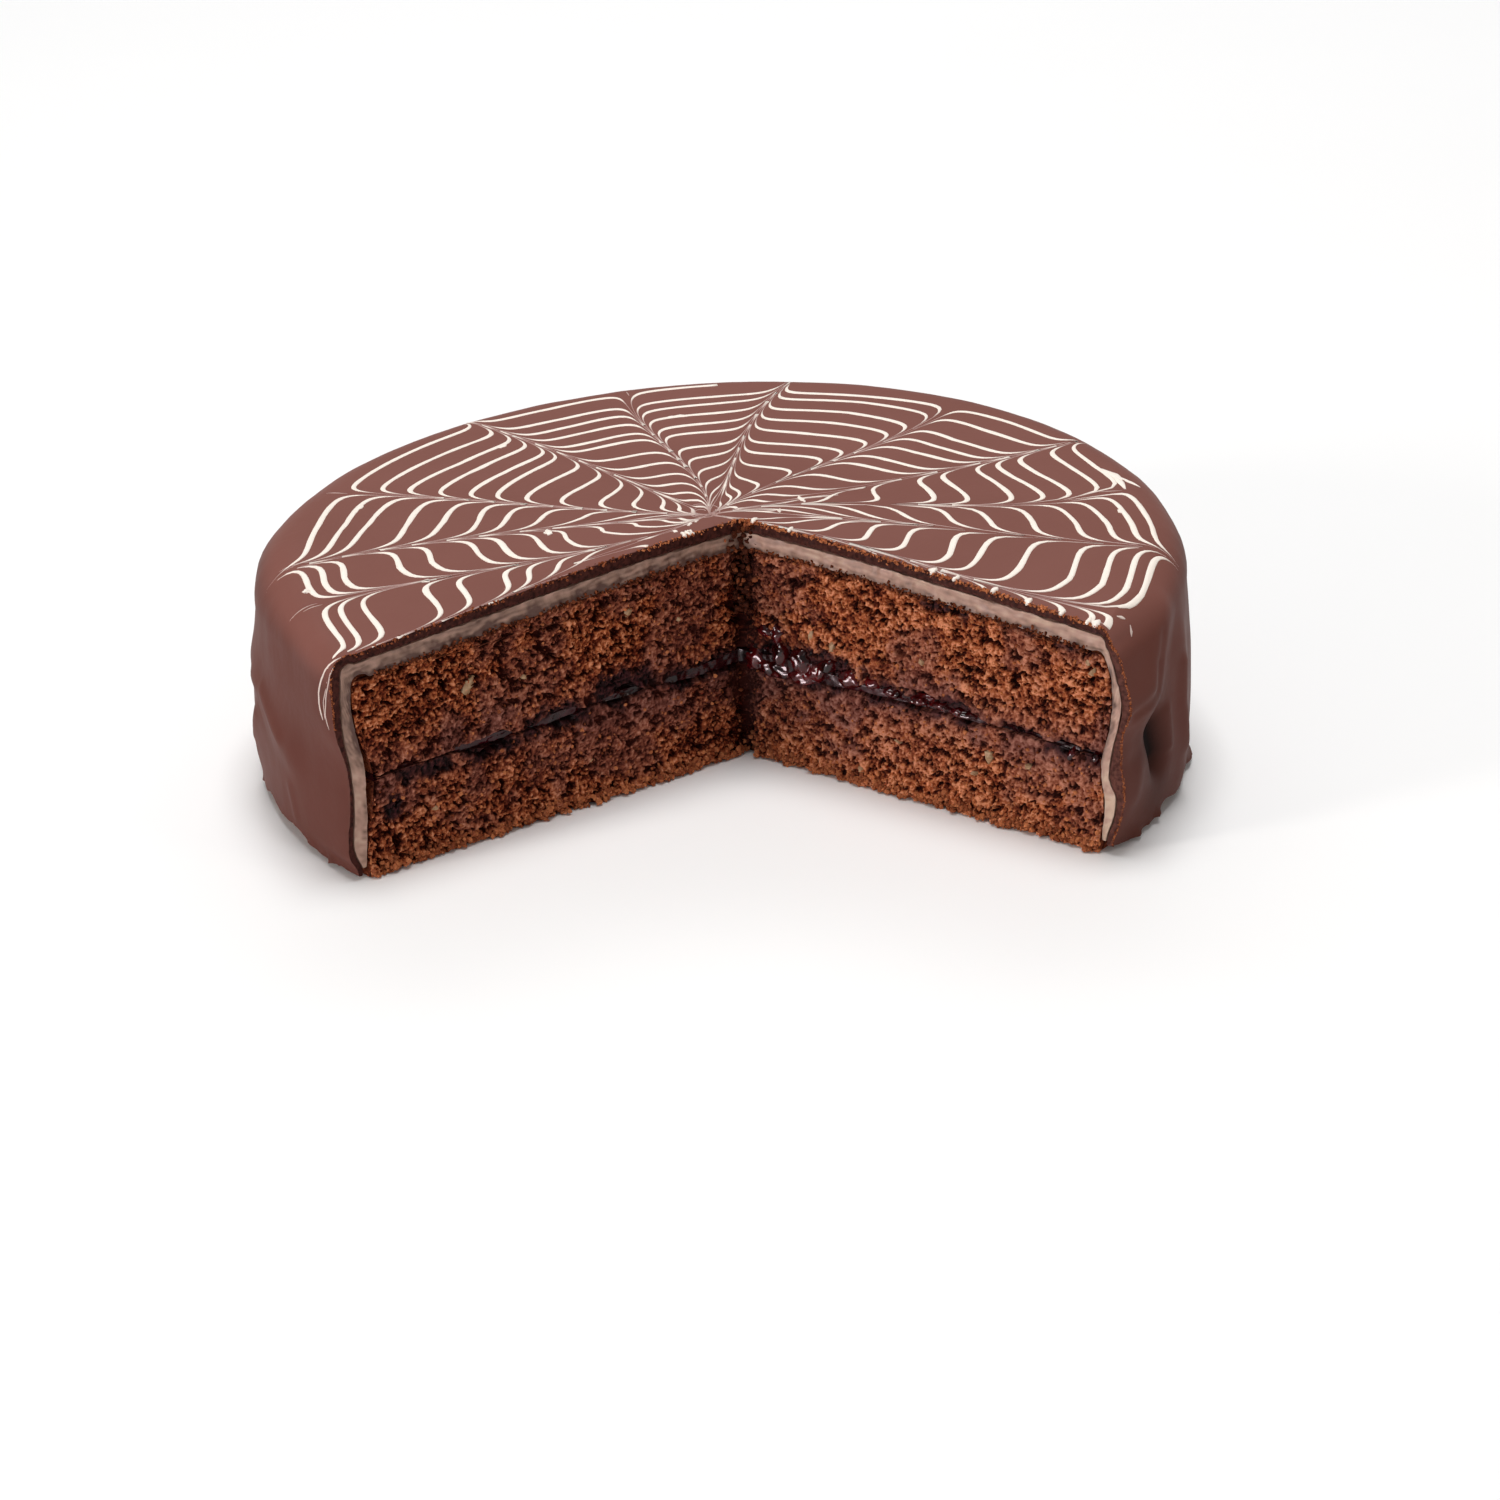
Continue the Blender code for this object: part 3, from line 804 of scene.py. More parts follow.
# Jam that has soaked into the crumb: from and to along the cut, then from and to in height
SOAKED = {
    LEFT: (
        (2.0, 28.0, 25.5, 29.5), (29.0, 46.0, 25.5, 34.0), (48.0, 67.0, 24.0, 29.0),
        (68.0, 86.0, 22.8, 26.2), (88.0, 101.0, 22.5, 25.0), (103.0, 105.0, 13.0, 19.0),
    ),
    RIGHT: (
        (1.0, 37.0, 24.0, 34.5), (36.0, 48.0, 25.5, 30.0), (48.0, 73.0, 26.2, 29.5),
        (76.0, 88.0, 26.2, 27.8), (89.5, 96.5, 23.8, 27.0), (100.0, 105.0, 23.8, 27.0),
        (52.0, 66.0, 54.8, 57.8), (74.0, 82.0, 55.2, 57.0), (84.0, 99.0, 54.0, 56.8),
    ),
}
SOAK_EDGE = 0.0020
SOAK_RAGGED = ((0.55, 0.0045), (0.35, 0.0016))
SOAK_FULL = 0.65
# Wet crumb, as shares: in patches, near the jam, and low on the right towards the corner
WET_PATCHES = 0.60
WET_PATCH_SHAPE = ((1.0, 0.017), (0.5, 0.006))
WET_PATCH_EDGE = (0.0, 0.35)
WET_NEAR_JAM = 0.70
WET_JAM_REACH = 0.0070
WET_LOW = 0.40
WET_LOW_LEFT = 0.25
WET_LOW_ALONG = (0.085, 0.030)
WET_LOW_FOOT = (0.004, 0.012)
WET_LOW_TOP = (0.030, 0.024)
WET_SMOOTH = 0.5
# The torn crumb's bumps, from large to finest: how wide, how proud, and how much lighter than the hollows, as
# painted light on crests and painted shade in hollows
BUMPS = ((0.0062, 0.00035, 0.24), (0.0024, 0.00030, 0.26), (0.0010, 0.0003, 0.42), (0.00062, 0.0003, 0.40))
BEND = ((0.9, 0.0014),)
# Lumps and the grains on them: how wide, how proud, how much lighter at the crest as painted light, how mixed
# in tone
LUMP = (0.0012, 0.00018, 0.06, 0.14)
GRAIN = (0.00062, 0.00014, 0.06, 0.20)
LUMP_TILT = 0.0002
ROUNDNESS = 1.5
SEED_SPREAD = (3.7, 3.3)
# Creases between the lumps: where they begin, how deep, and how much painted shade darkens them
CREASE_EDGE = (0.16, 0.02)
CREASE_DEEP = 0.0002
CREASE_PAINTED_SHADE = 0.10
# Pores and the specks between them: half width and half height, how they begin, how deep, and how dark with
# painted shade
PORE_WIDE = 0.0027
PORE_TALL = 0.0018
PORE_EDGE = (0.24, 0.34)
PORE_BY_FINE = 0.35
PORE_BY_LARGE = 0.15
PORE_DEEP = 0.0015
PORE_PAINTED_SHADE = 0.80
SPECK_WIDE = 0.0012
SPECK_TALL = 0.0009
SPECK_EDGE = (0.24, 0.42)
SPECK_DEEP = 0.0007
SPECK_PAINTED_SHADE = 0.34
JAM_DEEP = 0.0006
# The crumb's foot stands proud and its inner corner is torn away, with painted shade in the corner
FOOT_TALL = 0.0045
FOOT_PROUD = 0.0010
FOOT_LUMPS = (0.0011, 0.0006, 0.0008)
FOOT_LIGHT = 0.12
FOOT_DRY = 0.8
CORNER_WIDE = 0.0030
CORNER_DEEP = 0.0014
CORNER_UNEVEN = 0.0012
CORNER_PAINTED_SHADE = 0.25
# The crumb's tone: how pale each cut is, the left one darker as painted shade, how strong its marks and how
# much weaker where it is wet, how much painted shade darkens the hollows, and how much painted shade dims the
# inner corner
PALE_AND_PAINTED_SHADE = {LEFT: 0.520, RIGHT: 0.670}
CONTRAST = 1.08
WET_FLAT = 0.30
HOLLOW_PAINTED_SHADE = 0.45
HOLLOW_DEEP = 0.0018
DIM_CORNER_PAINTED_SHADE = 0.07
DIM_REACH = 0.045
# The crumb's edge next to the jam: how far it strays, and how far from the jam
EDGE_WAVE = 0.0011
EDGE_REACH = 0.0035


def moist(cut, s, height):
    """Share of smooth, wet crumb: near the jam, near the corner and in patches."""
    patches = waves(Vector((s, height, WET_FIELD * cut.side)), WET_PATCH_SHAPE)
    near_jam = math.exp(-((height - JAM_HEIGHT) / WET_JAM_REACH) ** 2)
    low = WET_LOW_LEFT
    if cut is RIGHT:
        low = smooth_step(*WET_LOW_ALONG, s) * smooth_step(*WET_LOW_FOOT, height)
    low *= smooth_step(*WET_LOW_TOP, height)
    wet = WET_PATCHES * smooth_step(*WET_PATCH_EDGE, patches)
    return min(1.0, wet + WET_NEAR_JAM * near_jam + WET_LOW * low)


def soaked(cut, s, height):
    """Share of jam in the crumb."""
    wander = waves(Vector((s, height, SOAK_FIELD)), SOAK_RAGGED)
    share = 0.0
    for row in SOAKED[cut]:
        start, end, low, high = (MM * value for value in row)
        if start - SOAK_EDGE < s < end + SOAK_EDGE:
            across = (s - 0.5 * (start + end)) / (0.5 * (end - start) + SOAK_EDGE)
            up = (height - 0.5 * (low + high)) / (0.5 * (high - low) + SOAK_EDGE)
            share = max(share, smooth_step(0.0, SOAK_FULL, 1.0 - math.hypot(across ** 2, up) + wander))
    return share


def cells(place, shift, wide):
    """Rounded cells: 1 on a crest and 0 between, the cell's seed, and how much nearer it is than the next."""
    distances, seeds = noise.voronoi(place / wide + shift)
    crest = 1.0 - min(1.0, distances[0] * ROUNDNESS) ** 2
    return crest, seeds[0], distances[1] - distances[0]


def crumb(cut, s, height):
    """How proud the torn crumb stands, its tone from 0 in a pore to 1 on a crest with painted shade and
    light, its wetness and jam.
    """
    place = Vector((s, height, CRUMB_FIELD + CRUMB_FIELD_SIDE * cut.side))
    wet = moist(cut, s, height)
    jam = soaked(cut, s, height)
    rough = 1.0 - WET_SMOOTH * wet
    bumps = [noise.noise(place / wide) for wide, _, _ in BUMPS]
    large, middle, fine, _ = bumps
    shift = Vector((waves(place, BEND), waves(place, BEND, BEND_FIELD), 0.0))
    lump, lump_seed, next_lump = cells(place, shift, LUMP[0])
    grain, grain_seed, _ = cells(place, shift, GRAIN[0])
    tone = noise.noise(lump_seed * SEED_SPREAD[0])
    crease = smooth_step(*CREASE_EDGE, next_lump)
    hole = noise.noise(Vector((s / PORE_WIDE, height / PORE_TALL, cut.side)) + shift)
    pore = smooth_step(*PORE_EDGE, hole + PORE_BY_FINE * fine + PORE_BY_LARGE * large)
    hole = noise.noise(Vector((s / SPECK_WIDE, height / SPECK_TALL, SPECK_FIELD + cut.side)) + shift)
    speck = smooth_step(*SPECK_EDGE, hole)
    proud = sum(bump * out for bump, (_, out, _) in zip(bumps, BUMPS)) + LUMP_TILT * tone
    proud = rough * (proud + LUMP[1] * (lump - 0.5) + GRAIN[1] * (grain - 0.5))
    depth = rough * (PORE_DEEP * pore + SPECK_DEEP * speck + CREASE_DEEP * crease) + JAM_DEEP * jam
    for row in BIG_PORES[cut]:
        pore_s, pore_height, wide, tall = (MM * value for value in row)
        away = math.hypot((s - pore_s) / wide, (height - pore_height) / tall) + BIG_PORE_BY_MIDDLE * middle
        depth += BIG_PORE_DEEP * smooth_step(*BIG_PORE_EDGE, away)
    if cut is LEFT:
        away = math.hypot((extent(cut, height) - s) / GAP_WIDE, (height - GAP_HEIGHT) / GAP_TALL)
        depth += GAP_DEEP * smooth_step(*GAP_EDGE, away + GAP_BY_FINE * fine)
    foot = math.exp(-(max(0.0, height) / FOOT_TALL) ** 2)
    corner = math.exp(-(s / CORNER_WIDE) ** 2)
    foot_lumps = zip(FOOT_LUMPS, (middle, fine, tone))
    proud += foot * (FOOT_PROUD + sum(far * bump for far, bump in foot_lumps))
    depth += corner * (CORNER_DEEP + CORNER_UNEVEN * middle)
    # Painted light and shade: crests lighter; creases, specks, pores, hollows and the inner corner darker
    tone_and_painted_shade = sum(bump * light for bump, (_, _, light) in zip(bumps, BUMPS)) - CREASE_PAINTED_SHADE * crease
    tone_and_painted_shade += LUMP[2] * (lump - 0.5) + GRAIN[2] * (grain - 0.5)
    tone_and_painted_shade += LUMP[3] * tone + GRAIN[3] * noise.noise(grain_seed * SEED_SPREAD[1])
    tone_and_painted_shade = PALE_AND_PAINTED_SHADE[cut] + CONTRAST * tone_and_painted_shade * (1.0 - WET_FLAT * wet) - SPECK_PAINTED_SHADE * speck - PORE_PAINTED_SHADE * pore
    tone_and_painted_shade -= DIM_CORNER_PAINTED_SHADE * smooth_step(DIM_REACH, 0.0, s) + CORNER_PAINTED_SHADE * corner
    tone_and_painted_shade -= min(1.0, depth / HOLLOW_DEEP) * HOLLOW_PAINTED_SHADE
    wet *= 1.0 - FOOT_DRY * foot
    return proud - depth, min(1.0, max(0.0, tone_and_painted_shade + FOOT_LIGHT * foot)), wet, jam


TABLE_ROWS = (12, 24)


def side_table(cut):
    """Heights and reaches of the sponge's side where it meets a cut."""
    heights = []
    reaches = []
    for turn, fall in rim_steps(*TABLE_ROWS):
        bearing = cut.rim_bearing(SPONGE_SKIN, turn, fall)
        point = SPONGE_SKIN.point(bearing, SPONGE_SKIN.travel(bearing, turn, fall))
        heights.append(point.z)
        reaches.append((plan(point) - CUT_CORNER).length)
    return heights[::-1], reaches[::-1]


SIDE_TABLES = {cut: side_table(cut) for cut in (LEFT, RIGHT)}


def extent(cut, height):
    heights, reaches = SIDE_TABLES[cut]
    return float(np.interp(height, heights, reaches))


def level_rim(height, places):
    """The sponge's side at the level that a function gives, from cut to cut."""
    def reach(bearing):
        shoulder = outline_reach(bearing) - lean(bearing) - SPONGE_SKIN.side
        up = height(HUB + direction(bearing) * shoulder)
        return shoulder + side_swell(bearing, up) + sponge_relief(bearing, up)

    ends = []
    for cut in (LEFT, RIGHT):
        distance = SIDE_RADIUS
        for _ in range(CROSSING_ROUNDS):
            distance = reach(cut.bearing(distance))
        ends.append(cut.bearing(distance))
    row = []
    for place in places:
        bearing = blend(*ends, place)
        spot = HUB + direction(bearing) * reach(bearing)
        spot.z = height(spot)
        row.append(spot)
    return row


# Where the two sponges touch and hide the jam: along the left cut (negative) or the right one
CLOSED = (
    (-110.0, -87.0), (-69.0, -64.0), (-48.0, -44.0), (-29.5, -26.5),
    (72.5, 76.5), (81.5, 83.5), (88.0, 90.0), (98.5, 101.0), (105.0, 112.0),
)
CLOSED_EDGE = 0.004
CLOSED_OVERLAP = 1.05
TORN_SHAPE = ((1.0, 0.0075), (0.6, 0.0021))
TORN_BACK = 0.15
CLOSED_RAGGED = ((0.2, 0.003),)


def torn_edge(s, height):
    """How far the crumb next to the jam hangs over it or falls short of it; s is negative on the left."""
    near = math.exp(-((height - JAM_HEIGHT) / EDGE_REACH) ** 2)
    side = 1.0 if height > JAM_HEIGHT else -1.0
    place = Vector((s, side, 0.0))
    wave = waves(place, TORN_SHAPE) - TORN_BACK
    for start, end in CLOSED:
        near_closed = smooth_step(CLOSED_EDGE, 0.0, max(0.0, start * MM - s, s - end * MM))
        wave = blend(wave, CLOSED_OVERLAP + waves(place, CLOSED_RAGGED), near_closed)
    return side * -EDGE_WAVE * near * wave


def straight_edge(s, height):
    return 0.0


def face_rows(places, low, high, count, proud, wave):
    """Dense rows of a cut face, from its lower to its upper edge."""
    rows = []
    values = []
    for i in range(count + 1):
        row = []
        for place in places:
            cut, along = path_place(place)
            spot = cut.at(along * extent(cut, JAM_HEIGHT))
            top_spot = cut.at(along * extent(cut, HEIGHT)) if high is SPONGE_SKIN.top else spot
            height = blend(low(spot), high(top_spot), i / count)
            s = along * extent(cut, height)
            lift, *marks = proud(cut, s, height)
            row.append(cut.at(s, height + wave(-s * cut.side, height), lift))
            values.append(marks)
        rows.append(row)
    return rows, values


# What the hidden faces of the sponge and the jam have for the shade, the wetness and the jam in it
HIDDEN_LOOK = {"tone_and_painted_shade": 0.4, "wet": 0.3, "jam": 0.0}
HIDDEN_STEPS = (0.25, 0.5, 0.75)
FIRST_STEP = 0.02
RIM_TURNS = 4
FOOT_RAGGED = 0.0009
FOOT_RAGGED_WIDE = 0.0023


def solid_body(name, face, hidden, values, material):
    points = [point for row in face + hidden for point in row]
    marks = {}
    for k, (label, plain) in enumerate(HIDDEN_LOOK.items()):
        marks[label] = [value[k] for value in values] + [plain] * (len(points) - len(values))
    faces = grid_faces(len(face + hidden), len(face[0]), True)
    return mesh_object(name, points, faces, material, marks, SHARP_CRUMB)


def spread_rows(rim, height, shares, places):
    return [spread_row(rim, height, share, places) for share in shares]


def make_sponges(material):
    places = columns(round(CUT_LENGTHS / FACE_STEP))

    count = round(FACE_ROWS["bottom"] / FACE_STEP)
    face, values = face_rows(places, level, under_jam, count, crumb, torn_edge)
    for point in face[0]:
        point.z += FOOT_RAGGED * (1.0 + noise.noise(point / FOOT_RAGGED_WIDE))
    top_rim = level_rim(under_jam, places)
    foot_rim = level_rim(level, places)
    hidden = spread_rows(top_rim, under_jam, HIDDEN_STEPS, places) + [top_rim, foot_rim]
    hidden += spread_rows(foot_rim, level, HIDDEN_STEPS[::-1] + (FIRST_STEP,), places)
    lower = solid_body("crumb_bottom", face, hidden, values, material)
    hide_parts("sponge_bottom")

    count = round(FACE_ROWS["top"] / FACE_STEP)
    face, values = face_rows(places, over_jam, SPONGE_SKIN.top, count, crumb, torn_edge)
    edge = [rim_row(SPONGE_SKIN, turn, fall, places) for turn, fall in rim_steps(RIM_TURNS, 0)]
    foot = level_rim(over_jam, places)
    hidden = spread_rows(edge[0], SPONGE_SKIN.top, HIDDEN_STEPS, places) + edge + [foot]
    hidden += spread_rows(foot, over_jam, HIDDEN_STEPS[::-1], places)
    upper = solid_body("crumb_top", face, hidden, values, material)
    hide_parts("sponge_top")
    for piece in (lower, upper):
        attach(piece, "root")


JAM_STEP = 1.3 * FACE_STEP
JAM_ROWS = 9
JAM_FACE_LUMPS = ((0.0005, 0.0032), (0.0003, 0.0014))
# The jam lies back from the cut, and comes forward in the pool at the right of the corner
JAM_BACK = 0.0016
JAM_FORWARD_FROM = 0.006
JAM_FORWARD_REACH = 0.022


def jam_relief(cut, s, height):
    """How proud the jam stands, then its shade, wetness and jam."""
    lumps = waves(Vector((s, height, JAM_FIELD * cut.side)), JAM_FACE_LUMPS)
    away = max(0.0, s - JAM_FORWARD_FROM) / JAM_FORWARD_REACH
    pool = math.exp(-away ** 2) if cut is RIGHT else 0.0
    return lumps - JAM_BACK * (1.0 - pool), 0.5, 1.0, 1.0


def make_jam(material):
    places = columns(round(CUT_LENGTHS / JAM_STEP))

    def bottom(spot):
        return jam_surfaces(spot)[0]

    def top(spot):
        return jam_surfaces(spot)[1]

    face, values = face_rows(places, bottom, top, JAM_ROWS, jam_relief, straight_edge)
    steps = (FIRST_STEP,) + HIDDEN_STEPS
    top_rim = level_rim(top, places)
    bottom_rim = level_rim(bottom, places)
    hidden = spread_rows(top_rim, top, steps, places) + [top_rim, bottom_rim]
    hidden += spread_rows(bottom_rim, bottom, steps[::-1], places)
    jam = solid_body("jam_layer", face, hidden, values, material)
    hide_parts("jam_filling")
    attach(jam, "root")


# Drops and smears of jam on the right face: place, half width, half height, how proud
SMEARS = (
    (3.0, 27.5, 3.4, 3.2, 0.8), (6.2, 36.5, 2.4, 2.1, 1.0), (9.8, 36.2, 2.2, 2.8, 1.1),
    (11.0, 30.8, 2.1, 3.9, 1.7), (8.5, 26.2, 6.0, 2.8, 0.9), (17.2, 30.6, 3.0, 4.0, 1.6),
    (17.0, 25.6, 4.0, 2.2, 1.0), (21.5, 28.2, 3.4, 2.4, 0.8), (25.2, 31.0, 2.3, 2.6, 1.4),
    (32.0, 28.7, 3.4, 2.6, 1.4), (38.5, 29.0, 2.6, 1.5, 0.8), (44.5, 28.2, 2.8, 1.2, 0.8),
    (52.0, 27.8, 2.6, 1.4, 1.0), (58.0, 27.7, 3.4, 1.1, 0.8), (65.0, 27.3, 4.2, 1.0, 0.8),
    (95.5, 24.2, 1.0, 2.0, 0.6), (102.2, 25.0, 0.8, 1.9, 0.6),
)
SMEAR_STEP = 0.0003
SMEAR_DEEP = -0.0017
SMEAR_THICK = 0.0012
SMEAR_MARGIN = 1.2
SMEAR_DOME = 0.4
SMEAR_WANDER = ((0.0008, 0.0024),)
SMEAR_ROUGH = ((0.0006, 0.0019),)


def smear_height(s, height):
    place = Vector((s, height, 0.0))
    wander_s = waves(place, SMEAR_WANDER)
    wander_height = waves(place, SMEAR_WANDER, SMEAR_FIELD)
    proud = SMEAR_DEEP
    for row in SMEARS:
        middle_s, middle_height, wide, tall, lift = (MM * value for value in row)
        across = (s + wander_s - middle_s) / wide
        along = (height + wander_height - middle_height) / tall
        inside = 1.0 - across ** 2 - along ** 2
        if inside > 0.0:
            proud = max(proud, blend(SMEAR_DEEP, lift, inside ** SMEAR_DOME))
    return proud + waves(place, SMEAR_ROUGH)


def make_smears(material):
    points = []
    faces = []
    for row in SMEARS:
        middle_s, middle_height, wide, tall = (MM * value for value in row[:4])
        across = round(2 * SMEAR_MARGIN * wide / SMEAR_STEP)
        up = round(2 * SMEAR_MARGIN * tall / SMEAR_STEP)
        faces += closed_sheet(len(points), across + 1, up + 1)
        for front in (True, False):
            for i in range(up + 1):
                for k in range(across + 1):
                    s = middle_s + wide * SMEAR_MARGIN * (2.0 * k / across - 1.0)
                    height = middle_height + tall * SMEAR_MARGIN * (2.0 * i / up - 1.0)
                    lift = smear_height(s, height) if front else SMEAR_DEEP - SMEAR_THICK
                    points.append(RIGHT.at(s, height, lift))
    smear = mesh_object("jam_smears", points, faces, material, {})
    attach(smear, "root")


def closed_sheet(start, width, rows):
    """Faces of a body made of a front grid and a back grid of the same size."""
    back = start + width * rows
    faces = grid_faces(rows, width, False, start)
    faces += [tuple(reversed(face)) for face in grid_faces(rows, width, False, back)]
    ring = list(range(width)) + [width * i + width - 1 for i in range(1, rows)]
    ring += [width * (rows - 1) + k for k in range(width - 2, -1, -1)]
    ring += [width * i for i in range(rows - 2, 0, -1)]
    for a, b in zip(ring, ring[1:] + ring[:1]):
        faces.append((start + b, start + a, back + a, back + b))
    return faces


# ---------------------------------------------------------------- icing web


def line_reach(ring, bearing):
    """Distance of an icing line from the web's hub before the tool is drawn through."""
    angle = math.degrees(bearing)
    middles = list(LINE_REACH)
    for start, end in zip(middles, middles[1:]):
        if start <= angle <= end:
            share = (angle - start) / (end - start)
            return MM * blend(LINE_REACH[start][ring], LINE_REACH[end][ring], share)
    return MM * LINE_REACH[middles[0] if angle < middles[0] else middles[-1]][ring]


def stroke_bearing(spoke, reach):
    """Bearing of a stroke at a distance from the web's hub: a parabola through its three bearings."""
    share = (reach - SPOKE_AT[0]) / (SPOKE_AT[2] - SPOKE_AT[0])
    share = min(STROKE_SHARES[1], max(STROKE_SHARES[0], share))
    near, middle, far = spoke
    ends = near * (1 - share) * (1 - 2 * share) + far * share * (2 * share - 1)
    return math.radians(ends + middle * 4 * share * (1 - share))


def drag(bearing, reach):
    """Where the tool, drawn in and out by turns, has moved the icing that lay here."""
    narrow = min(1.0, reach / DRAG_NARROW)
    shift = 0.0
    pulls = []
    for k, spoke in enumerate(SPOKES):
        path = stroke_bearing(spoke, reach)
        turn = bearing - path
        if math.cos(turn) <= 0:
            continue
        away = reach * abs(math.sin(turn)) / narrow
        sign, terms = (-1, DRAG_IN) if k % 2 == 0 else (1, DRAG_OUT)
        shift += sign * sum(length * math.exp(-away / width) for length, width in terms)
        if sign < 0:
            shift -= HUB_PULL * smooth_step(HUB_FAR, HUB_NEAR, reach) * math.exp(-away / HUB_WIDTH)
        pulls.append((spoke, path, math.exp(-(away / PATH_WIDTH) ** 2)))
    shift *= min(1.0, reach / DRAG_START)
    moved = reach + shift if shift > 0 else reach * math.exp(shift / reach)
    swing = sum(pull * (stroke_bearing(spoke, moved) - path) for spoke, path, pull in pulls)
    return bearing + swing, moved


def line_bearings(reach):
    """Bearings at which a line is sampled: close together at the strokes."""
    bearings = set()
    paths = [stroke_bearing(spoke, reach) for spoke in SPOKES]
    ends = [paths[0] - BEYOND_SPOKES] + paths + [paths[-1] + BEYOND_SPOKES]
    for before, path, after in zip(ends, paths, ends[2:]):
        for side, other in ((-1, before), (1, after)):
            for offset in SPOKE_OFFSETS:
                turn = offset * MM / reach
                if turn < abs(other - path) / 2:
                    bearings.add(path + side * turn)
    ordered = sorted(bearings)
    filled = []
    for start, end in zip(ordered, ordered[1:]):
        count = max(1, math.ceil((end - start) * reach / LINE_STEP))
        filled += [start + (end - start) * k / count for k in range(count)]
    return filled + [ordered[-1]]


def in_void(point):
    spot = plan(point) - CUT_CORNER
    return min(spot.dot(LEFT.across), spot.dot(RIGHT.across)) > -WEB_FROM_CUT


# A strand's section, in half widths across and lifts up; strands thinner than this lie flatter
SECTION = ((-1.0, -0.6), (-0.62, 0.55), (0.0, 0.9), (0.62, 0.55), (1.0, -0.6), (0.0, -1.5))
FLAT_BELOW = 0.0005
NORMAL_STEP = 0.0004


def ribbons(name, strands, material, lift):
    """Low domed strands that lie on the coat. A strand is a list of (point, normal, half width, full)."""
    points = []
    faces = []
    fulls = []
    size = len(SECTION)
    for strand in strands:
        if len(strand) < 2:
            continue
        start = len(points)
        for k, (point, normal, half, full) in enumerate(strand):
            before = strand[max(0, k - 1)][0]
            after = strand[min(len(strand) - 1, k + 1)][0]
            aside = (after - before).cross(normal).normalized()
            rise = lift * min(1.0, half / FLAT_BELOW)
            for across, up in SECTION:
                points.append(point + aside * half * across + normal * rise * up)
                fulls.append(full)
        for k in range(len(strand) - 1):
            a = start + k * size
            for j in range(size):
                i = (j + 1) % size
                faces.append((a + j, a + i, a + size + i, a + size + j))
        faces.append(tuple(range(start, start + size)))
        faces.append(tuple(range(len(points) - size, len(points))))
    thing = mesh_object(name, points, faces, material, {"full": fulls})
    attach(thing, "root")


def coat_place(bearing, travel):
    """Point of the coat's outer face and its normal."""
    point = COAT_OUTER.point(bearing, travel)
    before, after = (COAT_OUTER.point(bearing, travel + step) for step in (-NORMAL_STEP, NORMAL_STEP))
    aside = Vector((-math.sin(bearing), math.cos(bearing), 0.0))
    return point, (after - before).cross(aside).normalized()


def coat_place_at(spot):
    """The same, for a place of the top that is given as a point."""
    offset = plan(spot - HUB)
    return coat_place(bearing_of(offset), offset.length)


def web_place(bearing, reach):
    """Point of the coat's outer face and its normal, for a place of the web."""
    return coat_place_at(WEB_HUB + direction(bearing) * reach)


STRAND_POINTS = 9
STRAND_TIP = 0.25
STRAND_TAPER = 1.6
# A line is sampled this far to both sides to see how much the tool stretched it, and is thinned by that
DRAG_STEP = 0.0003
LINE_LEAST = 0.00013
THINNING = 0.75
STREAK_THIN = 0.4
NEAR_HUB_SIZE = 0.80
NEAR_HUB = (0.02, 0.06)
# How uneven the lines are, and how fast that changes near the hub, farther out and from ring to ring
LINE_UNEVEN = ((0.24, 1 / 2.0), (0.14, 1 / 7.0))
UNEVEN_NEAR = 3.0
UNEVEN_FAR = 20.0
UNEVEN_RING = 2.7
# How white a line is: by how thin it is drawn and by its distance from the hub
FULL_WHEN = (0.04, 0.32)
FULL_FROM_HUB = (0.001, 0.008)


def web_strands(ring):
    """The strands of one icing line, broken where it leaves the top or meets the cut."""
    strands = [[]]
    middle = MM * LINE_REACH[USUAL_BEARING][ring]
    step = DRAG_STEP / middle
    for bearing in line_bearings(middle):
        reach = line_reach(ring, bearing)
        rim = reach_to_circle(bearing, Vector(), TOP_RADIUS) + RIM_LIMIT
        turns = (bearing - step, bearing, bearing + step)
        (before, near), (angle, moved), (after, far) = (drag(turn, line_reach(ring, turn)) for turn in turns)
        point, normal = web_place(angle, moved)
        if in_void(point) or reach > rim or moved > rim + STREAK_LIMIT:
            strands.append([])
            continue
        run = math.hypot(far - near, moved * (after - before)) / (2 * step * reach)
        thin = 1.0 / max(1.0, run)
        around = direction(bearing) * (UNEVEN_NEAR + UNEVEN_FAR * reach) + UP * ring * UNEVEN_RING
        size = blend(NEAR_HUB_SIZE, 1.0, smooth_step(*NEAR_HUB, reach)) * (1.0 + waves(around, LINE_UNEVEN))
        fade = smooth_step(STREAK_LIMIT, STREAK_FADE, moved - rim)
        half = max(LINE_LEAST, LINE_HALF * size * thin ** THINNING) * blend(STREAK_THIN, 1.0, fade)
        full = smooth_step(*FULL_WHEN, thin) * smooth_step(*FULL_FROM_HUB, moved) * fade
        strands[-1].append((point, normal, half, full))
    return strands


def free_strand(places, half, full=1.0):
    """A strand through places of the web, given as (bearing in degrees, reach in mm), thin at both ends."""
    strand = []
    last = len(places) - 1
    for k, (bearing, reach) in enumerate(places):
        point, normal = web_place(math.radians(bearing), reach * MM)
        taper = min(1.0, STRAND_TIP + STRAND_TAPER * min(k, last - k) / max(1, last))
        strand.append((point, normal, half * taper, full))
    return strand


